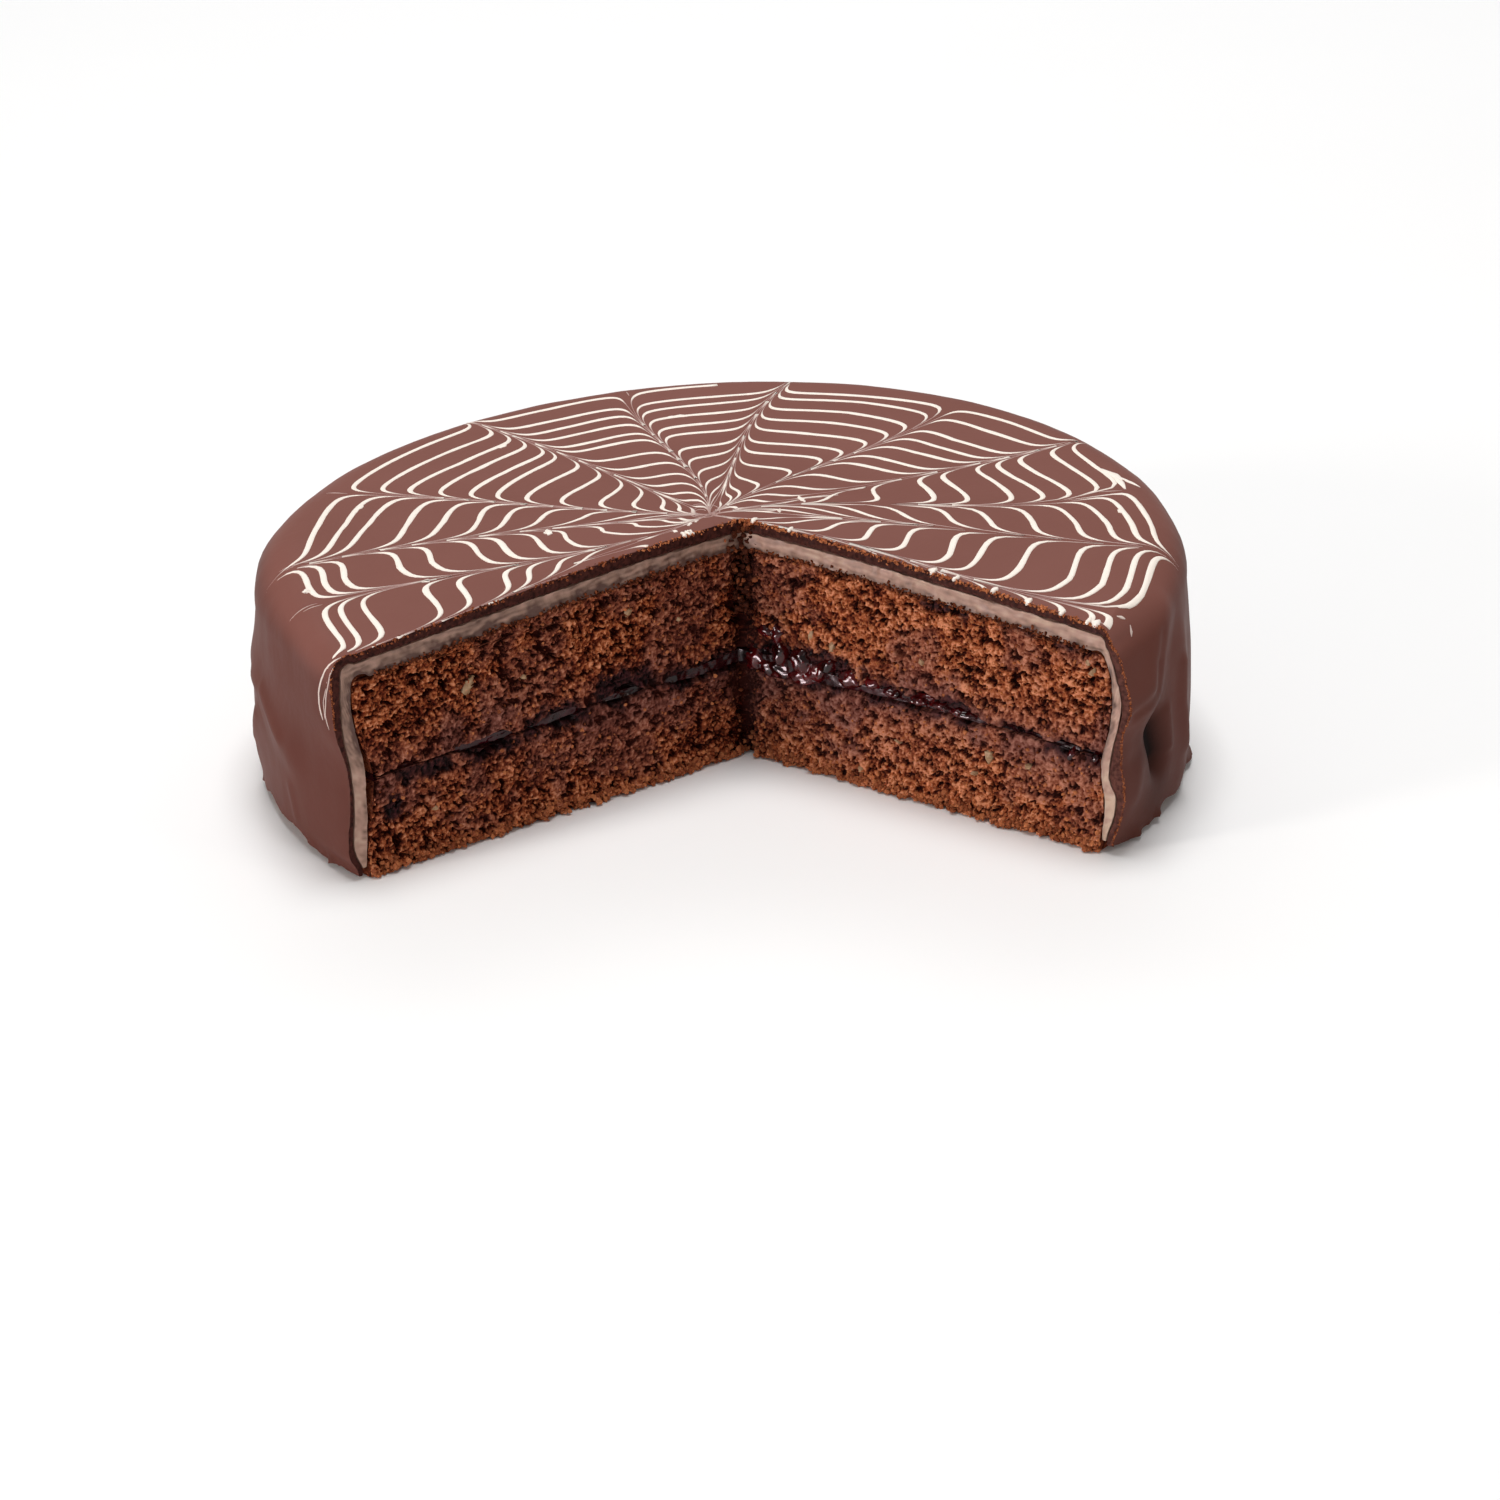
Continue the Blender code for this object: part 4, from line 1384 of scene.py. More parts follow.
# Thin streaks that the tool drew past the last line: bearing, reach from and to
NEEDLES = (
    (204.0, 104, 112), (204.6, 103, 108), (167.0, 98, 104), (104.0, 97, 101),
    (-32.6, 108, 111), (4.8, 101, 107), (192.6, 102, 110),
)
NEEDLE_HALF = 0.00020
NEEDLE_FULL = 0.35
NEEDLE_POINTS = 7
# Drops where the icing lay thicker: bearing, reach, length along the line, half width
DROPS = (
    (192.3, 41.8, 3.4, 1.4), (96.5, 75.4, 7.0, 1.3), (200.4, 104.8, 2.0, 1.3), (136.0, 79.6, 3.6, 1.2),
    (172.8, 91.6, 3.0, 1.2), (-2.3, 104.6, 2.4, 1.2), (20.6, 25.3, 4.5, 0.9),
)
DROP_WAVE = 0.25
DROP_WAVE_TURN = 1.9
DROP_LIFT = 1.3 * LINE_LIFT
# Flat smears of icing: half width in mm, how white, and places as (bearing, reach)
DABS = (
    (0.6, 0.5, ((7.6, 12.2), (4.6, 14.2), (4.9, 16.0), (6.4, 17.3))),
    (0.7, 0.7, ((9.1, 18.2), (5.0, 17.8), (0.7, 17.9))),
    (0.6, 0.6, ((-29.9, 111.8), (-29.4, 112.9), (-29.1, 113.8))),
    (0.5, 0.45, ((-28.9, 116.0), (-29.2, 117.7), (-29.6, 118.9))),
    (1.8, 1.0, ((13.0, 105.8), (11.2, 107.0), (9.8, 108.0), (8.4, 109.0))),
    (1.0, 1.0, ((9.8, 108.4), (8.2, 110.0), (7.4, 111.4), (6.6, 112.8))),
    (1.2, 1.0, ((10.4, 107.4), (8.6, 107.8), (7.0, 108.0), (5.2, 108.0))),
)
# Icing that ran down the side next to the left cut: half width, how white, places as (bearing, height)
RUNS = (
    (0.32, 0.7, ((218.9, 59.0), (217.9, 56.5), (217.0, 53.5), (216.3, 50.0), (216.2, 46.5), (216.8, 43.0))),
    (0.22, 0.5, ((219.0, 57.0), (218.5, 53.5), (217.9, 50.0), (217.4, 45.0), (217.8, 41.0))),
    (0.18, 0.4, ((218.0, 52.0), (217.2, 48.0), (217.3, 43.5))),
)
RUN_TIP = 0.3
RUN_POINTS = 14
# Faint curls where all the strokes meet: distance from their middle at both ends, and bearing
SWIRL_AT = WEB_HUB + Vector((-0.0020, 0.0023, 0.0))
SWIRLS = ((0.9, 2.4, 0.4), (2.6, 3.6, 2.2), (3.8, 5.2, 3.9))
SWIRL_TURN = 4.4
SWIRL_STEPS = 17
SWIRL_HALF = 0.00016
SWIRL_FULL = 0.15
# Icing that the knife pushed up along the cut's edge: place along it and half width
NUBS = {
    RIGHT: (
        (3.5, 0.9), (14.7, 0.7), (56.0, 1.1), (62.6, 0.8), (73.0, 1.0), (82.5, 1.1), (91.8, 0.8),
        (99.0, 0.8), (100.8, 1.2),
    ),
    LEFT: ((15.0, 0.5), (16.0, 0.7), (17.2, 0.6)),
}
NUB_LENGTH = 0.0022
NUB_OVER = 0.0004
NUB_STRAY = 0.0004
NUB_STEPS = 4
NUB_TIP = 0.55
NUB_UNEVEN = (0.75, 1.05)
NUB_SEED = 12
NUB_UP = 0.0001
NUB_LIFT = 2.2 * LINE_LIFT


def swirl_strands():
    strands = []
    for first, last, turn in SWIRLS:
        strand = []
        for k in range(SWIRL_STEPS + 1):
            share = k / SWIRL_STEPS
            out = direction(turn + SWIRL_TURN * share) * blend(first, last, share)
            point, normal = coat_place_at(SWIRL_AT + out * MM)
            if not in_void(point):
                strand.append((point, normal, SWIRL_HALF, SWIRL_FULL))
        strands.append(strand)
    return strands


def nub_strands():
    """Short ridges that lie across the coat's edge."""
    strands = []
    draw = random.Random(NUB_SEED)
    for cut, rows in NUBS.items():
        for s, half in rows:
            strand = []
            for k in range(NUB_STEPS + 1):
                inward = NUB_OVER - NUB_LENGTH * k / NUB_STEPS
                spot = cut.at(s * MM) + cut.across * inward + cut.out * draw.uniform(-NUB_STRAY, NUB_STRAY)
                point, normal = coat_place_at(spot)
                wide = half * MM * draw.uniform(*NUB_UNEVEN) * (1.0 if 0 < k < NUB_STEPS else NUB_TIP)
                strand.append((point + normal * NUB_UP, normal, wide, 1.0))
            strands.append(strand)
    return strands


def even_places(places, count=STRAND_POINTS):
    """Places run through evenly, so that a strand bends softly."""
    knots = np.linspace(0.0, 1.0, len(places))
    steps = np.linspace(0.0, 1.0, count)
    first, second = (np.interp(steps, knots, [place[k] for place in places]) for k in (0, 1))
    return list(zip(first, second))


def run_strand(places, half, full):
    """A strand down the coat's side, through places given as (bearing in degrees, height in mm)."""
    places = even_places(places, RUN_POINTS)
    strand = []
    for degrees, height in places:
        bearing = math.radians(degrees)
        travel = COAT_OUTER.length(bearing) - (height * MM - COAT_OUTER.foot(bearing))
        tip = (degrees, height) in (places[0], places[-1])
        strand.append((*coat_place(bearing, travel), half * (RUN_TIP if tip else 1.0), full))
    return strand


def make_web(material):
    strands = []
    for ring in range(len(LINE_REACH[USUAL_BEARING])):
        strands += web_strands(ring)
    ribbons("web_lines", strands, material, LINE_LIFT)
    fine = []
    for bearing, low, high in NEEDLES:
        places = even_places(((bearing, low), (bearing, high)), NEEDLE_POINTS)
        fine.append(free_strand(places, NEEDLE_HALF, NEEDLE_FULL))
    fine += [free_strand(even_places(places), half * MM, full) for half, full, places in DABS]
    fine += [run_strand(places, half * MM, full) for half, full, places in RUNS]
    ribbons("web_streaks", fine + swirl_strands(), material, LINE_LIFT)
    drops = []
    for bearing, reach, length, half in DROPS:
        spread = math.degrees(length / reach) / 2
        places = []
        for k in range(STRAND_POINTS):
            across = 2 * k / (STRAND_POINTS - 1) - 1
            places.append((bearing + spread * across, reach + DROP_WAVE * math.sin(k * DROP_WAVE_TURN)))
        drops.append(free_strand(places, half * MM))
    ribbons("web_drops", drops, material, DROP_LIFT)
    ribbons("web_nubs", nub_strands(), material, NUB_LIFT)


# ---------------------------------------------------------------- crumbs


# How many crumbs are tried, and from which size to which
CRUMBS = {
    "face": (5200, (0.0002, 0.00055)),
    "foot": (1500, (0.0003, 0.0008)),
    "coat_top": (1300, (0.00012, 0.00036)),
    "coat_right": (800, (0.00010, 0.00022)),
    "coat_left": (200, (0.00010, 0.00022)),
    "border": (900, (0.0002, 0.0005)),
    "corner": (170, (0.0003, 0.0009)),
}
# A crumb's shape: how far each axis and each corner of it may differ from round, and how far it is turned
AXIS_STRETCH = (0.55, 1.45)
CORNER_STRETCH = (0.7, 1.2)
CRUMB_TURN = (0.0, 6.3)
# Where crumbs lie on the faces, along them and up, clear of the jam, and how much lighter than the face
FACE_LONG = 0.108
FACE_TALL = (0.0004, 0.0585)
JAM_CLEAR = 0.0008
WET_BARE = 0.75
FACE_LIGHTER = (-0.1, 0.5)
# The crumbs along the foot: how high, how proud and in which tones
FOOT_LEVEL = 0.002
FOOT_UP = 0.0004
FOOT_SPREAD = 0.0016
FOOT_OUT = (-0.0002, 0.0005)
FOOT_TONES = (0.45, 1.0)
# Crumbs along the coat's cut edge come in patches, more of them on the right
EDGE_FAR = 0.11
EDGE_PATCH = 0.006
EDGE_RICH = 0.5
EDGE_UNEVEN = 0.7
EDGE_MORE = {LEFT: -0.1, RIGHT: 0.25}
EDGE_SPREAD = 0.00035
EDGE_DROP = 0.0003
EDGE_SLOPE = 0.4
EDGE_UP = 0.0001
EDGE_TONES = (0.45, 1.1)
EDGE_DARK_TONES = (0.1, 0.7)
EDGE_DARK_FROM = 0.035
# Down the side: from which share of the height, and how many lie below the rounded edge
SIDE_CRUMBS_FROM = {LEFT: 0.75, RIGHT: 0.0}
SIDE_SHARE = 0.75
NEARLY_DOWN = 1.5
SIDE_ACROSS = 0.00015
SIDE_BACK = 0.0002
SIDE_TONES = (0.3, 0.9)
# Crumbs along the marzipan's border: clear of both ends, and scattered about it
BORDER_FROM = 0.002
BORDER_SHORT = 0.001
BORDER_FAR = 0.09
BORDER_SPREAD = 0.00045
BORDER_OUT = (-0.0002, 0.0003)
BORDER_TONES = (0.0, 0.6)
# Crumbs in the inner corner, most of them dark as painted shade of the crevice
CORNER_SPREAD = 0.0020
CORNER_TALL = (0.040, HEIGHT - 0.001)
CORNER_OUT = (-0.0006, 0.0006)
CORNER_PAINTED_SHADE_TONES = (0.0, 0.0, 0.05, 0.1, 0.15, 0.6)
# Where each piece's random draws start
SEEDS = {
    "face": 5, "foot": 6, "edge": 7, "nuts": 9, "border": 17,
    "spots": 4, "corner_spots": 8, "edge_spots": 21, "border_spots": 31,
}
# Bits of walnut that show in the crumb: place and half width
NUTS = {
    LEFT: (
        (81.0, 42.5, 2.6), (35.0, 50.0, 1.1), (66.0, 41.0, 1.2), (93.0, 13.0, 1.1), (48.0, 12.0, 1.0),
        (20.0, 44.0, 0.9),
    ),
    RIGHT: (
        (73.0, 17.8, 1.6), (53.5, 38.8, 1.2), (99.2, 50.0, 1.4), (100.6, 47.6, 0.9), (46.5, 15.0, 1.0),
        (36.0, 4.5, 1.4), (27.0, 37.0, 1.4), (20.5, 38.5, 1.3), (69.0, 12.0, 1.0), (84.0, 18.0, 1.2),
    ),
}
NUT_SUNK = 0.25
NUT_TONE = 0.5


def icosahedron():
    ball = bmesh.new()
    bmesh.ops.create_icosphere(ball, subdivisions=1, radius=1.0)
    points = np.array([v.co[:] for v in ball.verts])
    faces = [tuple(v.index for v in f.verts) for f in ball.faces]
    ball.free()
    return points, faces


def crumbs(name, spots, material, seed):
    """Loose crumbs, one mesh: each spot is (place, size, tone)."""
    draw = random.Random(seed)
    ball, ball_faces = icosahedron()
    points = []
    faces = []
    tones = []
    for place, size, tone in spots:
        turn = np.array(Euler([draw.uniform(*CRUMB_TURN) for _ in range(3)]).to_matrix())
        shape = ball * np.array([[draw.uniform(*AXIS_STRETCH) for _ in range(3)]])
        shape = shape * np.array([[draw.uniform(*CORNER_STRETCH)] for _ in range(len(ball))])
        faces += [tuple(len(points) + k for k in face) for face in ball_faces]
        points += list(shape @ turn.T * size + np.array(place[:]))
        tones += [tone] * len(ball)
    thing = place_mesh(new_mesh(name, points, faces, {"tone_and_painted_shade": tones}), material)
    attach(thing, "root")


def face_spots(draw):
    """Places on both cut faces, where the crumb is neither jam nor wet."""
    spots = []
    count, sizes = CRUMBS["face"]
    for _ in range(count):
        cut = draw.choice((LEFT, RIGHT))
        s = draw.uniform(0.0, FACE_LONG)
        height = draw.uniform(*FACE_TALL)
        if s > extent(cut, height) or height > SPONGE_SKIN.top(cut.at(s)):
            continue
        proud, tone_and_painted_shade, wet, jam = crumb(cut, s, height)
        low, high = jam_surfaces(cut.at(s))
        if low - JAM_CLEAR < height < high + JAM_CLEAR or draw.random() < max(jam, WET_BARE * wet):
            continue
        size = draw.uniform(*sizes)
        spots.append((cut.at(s, height, proud), size, min(1.0, tone_and_painted_shade + draw.uniform(*FACE_LIGHTER))))
    return spots


def foot_spots(draw):
    """Places along the foot of both cut faces."""
    spots = []
    count, sizes = CRUMBS["foot"]
    for _ in range(count):
        cut = draw.choice((LEFT, RIGHT))
        s = draw.uniform(0.0, extent(cut, FOOT_LEVEL))
        height = abs(draw.gauss(0.0, FOOT_SPREAD)) + FOOT_UP
        proud = crumb(cut, s, height)[0]
        size = draw.uniform(*sizes)
        place = cut.at(s, max(height, size), proud + draw.uniform(*FOOT_OUT))
        spots.append((place, size, draw.uniform(*FOOT_TONES)))
    return spots


def coat_edge_spots():
    """Places along the coat's cut edge: over the top and down both sides."""
    draw = random.Random(SEEDS["edge_spots"])
    spots = []
    for cut in (LEFT, RIGHT):
        far = cut.reach(COAT_OUTER.measure(cut.bearing(EDGE_FAR))[2])
        count, sizes = CRUMBS["coat_top"]
        for _ in range(count):
            s = draw.uniform(0.0, far)
            patch = noise.noise(Vector((s / EDGE_PATCH, EDGE_FIELD * cut.side, 0.0)))
            if draw.random() > EDGE_RICH + EDGE_UNEVEN * patch + EDGE_MORE[cut]:
                continue
            spread = draw.gauss(0.0, EDGE_SPREAD)
            drop = max(0.0, spread) * EDGE_SLOPE + abs(draw.gauss(0.0, EDGE_DROP)) - EDGE_UP
            height = top_height(cut.at(s, 0.0, spread)) - drop
            tones = EDGE_TONES if cut is RIGHT or s < EDGE_DARK_FROM else EDGE_DARK_TONES
            tone = draw.uniform(*tones)
            spots.append((cut.at(s, height, spread), draw.uniform(*sizes), tone))
        count, sizes = CRUMBS["coat_right" if cut is RIGHT else "coat_left"]
        for _ in range(count):
            fall = 1.0 - draw.uniform(SIDE_CRUMBS_FROM[cut], 1.0)
            turn = math.pi / 2 * (1.0 if draw.random() < SIDE_SHARE else draw.random())
            if turn <= NEARLY_DOWN:
                fall = 0.0
            bearing = cut.rim_bearing(COAT_OUTER, turn, fall)
            point = COAT_OUTER.point(bearing, COAT_OUTER.travel(bearing, turn, fall))
            point += cut.across * draw.gauss(0.0, SIDE_ACROSS) - cut.out * abs(draw.gauss(0.0, SIDE_BACK))
            spots.append((point, draw.uniform(*sizes), draw.uniform(*SIDE_TONES)))
    return spots


def border_spots():
    """Crumbs that stick to the lower border of the marzipan, across the top of both cuts."""
    draw = random.Random(SEEDS["border_spots"])
    spots = []
    count, sizes = CRUMBS["border"]
    for _ in range(count):
        cut = draw.choice((LEFT, RIGHT))
        far = extent(cut, SPONGE_SKIN.top(cut.at(BORDER_FAR)))
        s = draw.uniform(BORDER_FROM, far - BORDER_SHORT)
        height = MARZIPAN_INNER.top(cut.at(s)) + draw.gauss(0.0, BORDER_SPREAD)
        place = cut.at(s, height, draw.uniform(*BORDER_OUT))
        spots.append((place, draw.uniform(*sizes), draw.uniform(*BORDER_TONES)))
    return spots


def corner_spots():
    """Crumbs in the torn inner corner."""
    draw = random.Random(SEEDS["corner_spots"])
    spots = []
    count, sizes = CRUMBS["corner"]
    for _ in range(count):
        cut = draw.choice((LEFT, RIGHT))
        s = abs(draw.gauss(0.0, CORNER_SPREAD))
        height = draw.uniform(*CORNER_TALL)
        place = cut.at(s, height, draw.uniform(*CORNER_OUT))
        spots.append((place, draw.uniform(*sizes), draw.choice(CORNER_PAINTED_SHADE_TONES)))
    return spots


def make_crumbs(material):
    draw = random.Random(SEEDS["spots"])
    crumbs("crumbs_face", face_spots(draw), material, SEEDS["face"])
    crumbs("crumbs_foot", foot_spots(draw), material, SEEDS["foot"])
    crumbs("crumbs_edge", coat_edge_spots() + corner_spots(), material, SEEDS["edge"])
    crumbs("crumbs_border", border_spots(), material, SEEDS["border"])


def make_nuts(material):
    spots = []
    for cut, rows in NUTS.items():
        for row in rows:
            s, height, size = (MM * value for value in row)
            spots.append((cut.at(s, height, crumb(cut, s, height)[0] - NUT_SUNK * size), size, NUT_TONE))
    crumbs("walnut_bits", spots, material, SEEDS["nuts"])


# ---------------------------------------------------------------- materials


# Which sockets of the mix node take the factor and both colours, and which gives the mixed one
MIX_INPUTS = (0, 6, 7)
MIX_OUTPUT = 2


def node_material(name):
    material = bpy.data.materials.new(name)
    material.use_nodes = True
    tree = material.node_tree
    return material, tree, tree.nodes["Principled BSDF"]


def put(tree, value, socket):
    """Gives a socket a link, a colour or a number."""
    if hasattr(value, "links"):
        tree.links.new(value, socket)
    else:
        socket.default_value = (*value, 1.0) if isinstance(value, tuple) else value


def noise_node(tree, scale, detail=4.0, roughness=0.55):
    node = tree.nodes.new("ShaderNodeTexNoise")
    for name, value in (("Scale", scale), ("Detail", detail), ("Roughness", roughness)):
        node.inputs[name].default_value = value
    tree.links.new(tree.nodes.new("ShaderNodeTexCoord").outputs["Object"], node.inputs["Vector"])
    return node.outputs["Fac"]


def ramp(tree, value, *stops):
    node = tree.nodes.new("ShaderNodeValToRGB")
    elements = node.color_ramp.elements
    while len(elements) < len(stops):
        elements.new(0.5)
    for element, (position, colour) in zip(elements, stops):
        element.position = position
        element.color = (*colour, 1.0)
    tree.links.new(value, node.inputs["Fac"])
    return node.outputs["Color"]


def mix(tree, factor, first, second):
    node = tree.nodes.new("ShaderNodeMix")
    node.data_type = "RGBA"
    for index, value in zip(MIX_INPUTS, (factor, first, second)):
        put(tree, value, node.inputs[index])
    return node.outputs[MIX_OUTPUT]


def maths(tree, operation, *values):
    node = tree.nodes.new("ShaderNodeMath")
    node.operation = operation
    for value, socket in zip(values, node.inputs):
        put(tree, value, socket)
    return node.outputs[0]


def about(tree, value, swing):
    """A noise's value turned into one that swings evenly about zero."""
    return maths(tree, "MULTIPLY_ADD", value, swing, -swing / 2)


def step_node(tree, value, low, high, below, above):
    """Goes smoothly from one number to another as the value passes from low to high."""
    node = tree.nodes.new("ShaderNodeMapRange")
    node.interpolation_type = "SMOOTHSTEP"
    for name, number in (("From Min", low), ("From Max", high), ("To Min", below), ("To Max", above)):
        node.inputs[name].default_value = number
    tree.links.new(value, node.inputs["Value"])
    return node.outputs["Result"]


def attribute(tree, name):
    node = tree.nodes.new("ShaderNodeAttribute")
    node.attribute_name = name
    return node.outputs["Fac"]


def surface(tree, shader, colour, roughness, specular, relief, depth):
    """A skin's colour, roughness and specular level, and a bump of a given depth."""
    put(tree, colour, shader.inputs["Base Color"])
    put(tree, roughness, shader.inputs["Roughness"])
    put(tree, specular, shader.inputs["Specular IOR Level"])
    node = tree.nodes.new("ShaderNodeBump")
    node.inputs["Distance"].default_value = depth
    node.inputs["Strength"].default_value = 1.0
    tree.links.new(relief, node.inputs["Height"])
    tree.links.new(node.outputs["Normal"], shader.inputs["Normal"])


def chocolate_material():
    material, tree, shader = node_material("poured_chocolate")
    cloud = noise_node(tree, 22.0, 3.0)
    tone = attribute(tree, "tone")
    # The top is painted paler as a lit copy of the chocolate, and the side darker as a shaded copy
    top = ramp(tree, cloud, (0.3, (0.190, 0.0755, 0.060)), (0.7, (0.210, 0.0855, 0.069)))
    side = ramp(tree, cloud, (0.3, (0.118, 0.0405, 0.030)), (0.7, (0.130, 0.0465, 0.036)))
    # Painted shade in the pit of the deepest dent
    pit_painted_shade = (0.006, 0.0015, 0.001)
    body = mix(tree, maths(tree, "SUBTRACT", tone, 1.0), mix(tree, tone, top, side), pit_painted_shade)
    grain = noise_node(tree, 900.0, 3.0)
    # Shaded and lit copies of the cut band's colour; the left band is painted in shade
    dark = ramp(tree, grain, (0.35, (0.018, 0.005, 0.004)), (0.62, (0.060, 0.016, 0.012)))
    light = ramp(tree, grain, (0.35, (0.060, 0.021, 0.017)), (0.62, (0.135, 0.050, 0.038)))
    colour = mix(tree, attribute(tree, "cut"), body, mix(tree, tone, dark, light))
    shine = maths(tree, "MULTIPLY_ADD", noise_node(tree, 60.0), 0.18, 0.38)
    surface(tree, shader, colour, shine, 0.035, noise_node(tree, 420.0, 2.0), 0.00006)
    return material


def icing_material():
    material, tree, shader = node_material("pale_icing")
    colour = mix(tree, attribute(tree, "full"), (0.36, 0.20, 0.175), (0.92, 0.83, 0.74))
    surface(tree, shader, colour, 0.42, 0.5, noise_node(tree, 500.0, 2.0), 0.00004)
    return material


def marzipan_material():
    material, tree, shader = node_material("marzipan_paste")
    pale = maths(tree, "ADD", attribute(tree, "tone"), about(tree, noise_node(tree, 260.0, 5.0, 0.65), 0.5))
    colour = ramp(
        tree,
        pale,
        (0.0, (0.110, 0.055, 0.042)),
        (0.30, (0.283, 0.170, 0.126)),
        (0.60, (0.440, 0.264, 0.204)),
        (1.0, (0.580, 0.415, 0.305)),
    )
    surface(tree, shader, colour, 0.5, 0.25, noise_node(tree, 700.0, 4.0), 0.00015)
    return material


def sponge_material():
    material, tree, shader = node_material("walnut_sponge")
    grain = noise_node(tree, 1500.0, 4.0, 0.75)
    flecks = noise_node(tree, 640.0, 5.0, 0.7)
    # The crumb's tone brings painted shade and light; the dark pits from the flecks are painted shade too
    tone_and_painted_shade = maths(tree, "ADD", attribute(tree, "tone_and_painted_shade"), about(tree, grain, 0.9))
    tone_and_painted_shade = maths(tree, "ADD", tone_and_painted_shade, step_node(tree, flecks, 0.56, 0.66, 0.0, 0.30))
    tone_and_painted_shade = maths(tree, "ADD", tone_and_painted_shade, step_node(tree, flecks, 0.36, 0.44, -0.34, 0.0))
    dry = ramp(
        tree,
        tone_and_painted_shade,
        (0.05, (0.022, 0.0018, 0.0006)),
        (0.30, (0.120, 0.019, 0.007)),
        (0.60, (0.400, 0.105, 0.036)),
        (1.0, (0.780, 0.320, 0.165)),
    )
    damp = ramp(
        tree,
        tone_and_painted_shade,
        (0.05, (0.030, 0.005, 0.003)),
        (0.45, (0.158, 0.049, 0.034)),
        (1.0, (0.395, 0.168, 0.122)),
    )
    jammy = ramp(tree, tone_and_painted_shade, (0.1, (0.006, 0.002, 0.002)), (0.8, (0.075, 0.020, 0.022)))
    jam = attribute(tree, "jam")
    colour = mix(tree, jam, mix(tree, attribute(tree, "wet"), dry, damp), jammy)
    gloss = maths(tree, "MULTIPLY_ADD", jam, -0.55, 0.85)
    surface(tree, shader, colour, gloss, 0.04, grain, 0.0002)
    return material


def crumb_material():
    material, tree, shader = node_material("loose_crumb")
    grain = noise_node(tree, 1500.0, 3.0, 0.7)
    # The loose crumbs' tones bring painted shade from the face and the inner corner
    tone_and_painted_shade = maths(tree, "ADD", attribute(tree, "tone_and_painted_shade"), about(tree, grain, 0.5))
    stops = ((0.1, (0.060, 0.012, 0.004)), (0.5, (0.240, 0.062, 0.024)), (1.0, (0.560, 0.190, 0.075)))
    surface(tree, shader, ramp(tree, tone_and_painted_shade, *stops), 0.8, 0.06, grain, 0.0003)
    return material


def walnut_material():
    material, tree, shader = node_material("walnut_flesh")
    mottle = noise_node(tree, 700.0, 4.0, 0.6)
    stops = ((0.3, (0.230, 0.120, 0.055)), (0.55, (0.420, 0.260, 0.140)), (0.8, (0.600, 0.430, 0.270)))
    surface(tree, shader, ramp(tree, mottle, *stops), 0.6, 0.2, mottle, 0.0002)
    return material


def jam_material():
    material, tree, shader = node_material("red_jam")
    cloud = noise_node(tree, 160.0)
    colour = ramp(tree, cloud, (0.35, (0.006, 0.001, 0.0015)), (0.7, (0.050, 0.003, 0.006)))
    surface(tree, shader, colour, 0.22, 0.3, noise_node(tree, 500.0, 2.0), 0.0002)
    return material


def smear_material():
    material, tree, shader = node_material("wet_jam")
    cloud = noise_node(tree, 190.0)
    colour = ramp(tree, cloud, (0.35, (0.008, 0.0004, 0.0006)), (0.7, (0.130, 0.004, 0.006)))
    surface(tree, shader, colour, 0.13, 0.45, noise_node(tree, 500.0, 2.0), 0.00008)
    return material


def floor_material():
    material, tree, shader = node_material("pale_floor")
    colour = ramp(tree, noise_node(tree, 3.0, 2.0), (0.3, (0.92, 0.92, 0.92)), (0.7, (0.93, 0.93, 0.93)))
    put(tree, colour, shader.inputs["Base Color"])
    put(tree, 0.55, shader.inputs["Roughness"])
    return material


# ---------------------------------------------------------------- stage, light and camera


FLOOR_SIZE = 8.0
WORLD_STRENGTH = 0.27
# The lights: place, what they face, width and height, power, colour and whether they only make gloss
WHITE = (1.0, 1.0, 1.0)
CAKE_MIDDLE = (0.0, 0.0, 0.03)
LIGHTS = {
    "top_softbox": ((0.0, 0.2, 3.0), (0.0, 0.0, 0.0), (1.4, 1.1), 63.0, WHITE, False),
    "back_softbox": ((0.0, 1.9, 1.6), (0.0, 1.9, 0.0), (2.6, 1.0), 16.0, WHITE, False),
    "key_softbox": ((-1.16, -0.56, 0.45), CAKE_MIDDLE, (0.2, 0.2), 5.2, (1.0, 0.92, 0.86), False),
    "right_softbox": ((1.1, -0.6, 0.5), CAKE_MIDDLE, (0.25, 0.5), 1.5, (1.0, 0.86, 0.76), False),
    "gloss_softbox": ((-0.90, -1.10, 0.34), CAKE_MIDDLE, (0.75, 0.60), 36.0, (1.0, 0.83, 0.86), True),
}


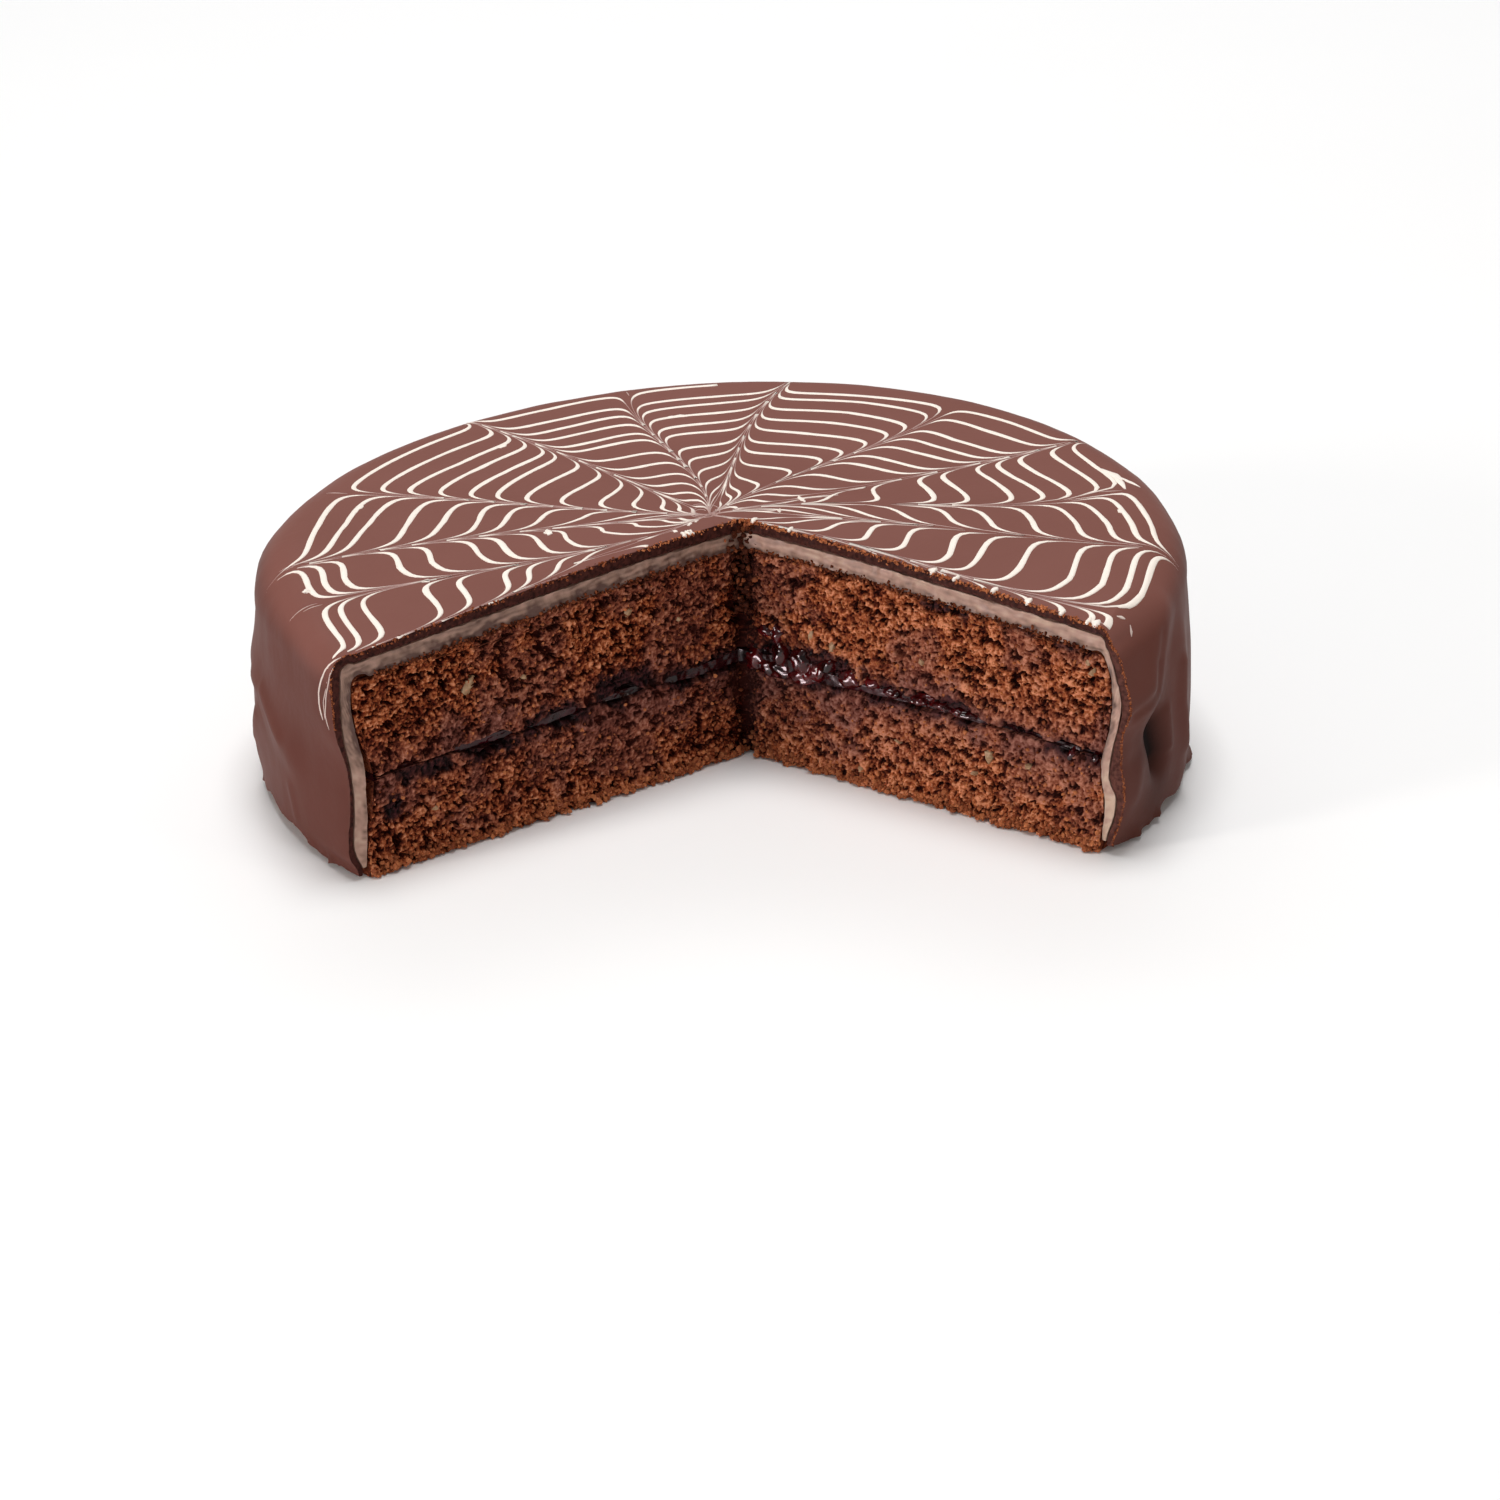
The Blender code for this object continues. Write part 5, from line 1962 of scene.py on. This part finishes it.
def make_stage():
    bpy.ops.mesh.primitive_plane_add(size=FLOOR_SIZE)
    floor = bpy.context.object
    floor.name = "pale_floor"
    floor.data.materials.append(floor_material())
    floor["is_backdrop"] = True


def make_light():
    world = bpy.data.worlds.new("studio")
    bpy.context.scene.world = world
    world.use_nodes = True
    background = world.node_tree.nodes["Background"]
    background.inputs["Color"].default_value = (*WHITE, 1.0)
    background.inputs["Strength"].default_value = WORLD_STRENGTH
    for name, (place, target, size, power, colour, gloss_only) in LIGHTS.items():
        data = bpy.data.lights.new(name, "AREA")
        data.shape = "RECTANGLE"
        data.size, data.size_y = size
        data.energy = power
        data.color = colour
        lamp = bpy.data.objects.new(name, data)
        lamp.location = place
        lamp.rotation_euler = (Vector(target) - Vector(place)).to_track_quat("-Z", "Y").to_euler()
        lamp.visible_diffuse = not gloss_only
        bpy.context.collection.objects.link(lamp)


CAMERA_PLACE = Vector((0.00581, -0.62427, 0.31820))
CAMERA_TARGET = Vector((0.00581, 0.0, 0.00151))
CAMERA_ROLL = math.radians(-1.372)
CAMERA_LENS = 63.38
SENSOR_WIDTH = 36.0


def make_camera():
    data = bpy.data.cameras.new("camera")
    data.lens = CAMERA_LENS
    data.sensor_width = SENSOR_WIDTH
    camera = bpy.data.objects.new("camera", data)
    forward = (CAMERA_TARGET - CAMERA_PLACE).normalized()
    right = forward.cross(UP).normalized()
    up = right.cross(forward)
    rolled_right = right * math.cos(CAMERA_ROLL) + up * math.sin(CAMERA_ROLL)
    rolled_up = up * math.cos(CAMERA_ROLL) - right * math.sin(CAMERA_ROLL)
    turn = Matrix((rolled_right, rolled_up, -forward)).transposed().to_4x4()
    camera.matrix_world = Matrix.Translation(CAMERA_PLACE + AXIS) @ turn
    bpy.context.collection.objects.link(camera)
    bpy.context.scene.camera = camera
    bpy.context.scene.view_settings.view_transform = "Standard"


make_coat(chocolate_material())
make_marzipan(marzipan_material())
make_sponges(sponge_material())
make_jam(jam_material())
make_smears(smear_material())
make_nuts(walnut_material())
make_web(icing_material())
make_crumbs(crumb_material())
make_stage()
make_light()
make_camera()

boxes = {"cad": cad_box, "visual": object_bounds()}
{name: [list(corner) for corner in box] for name, box in boxes.items()}
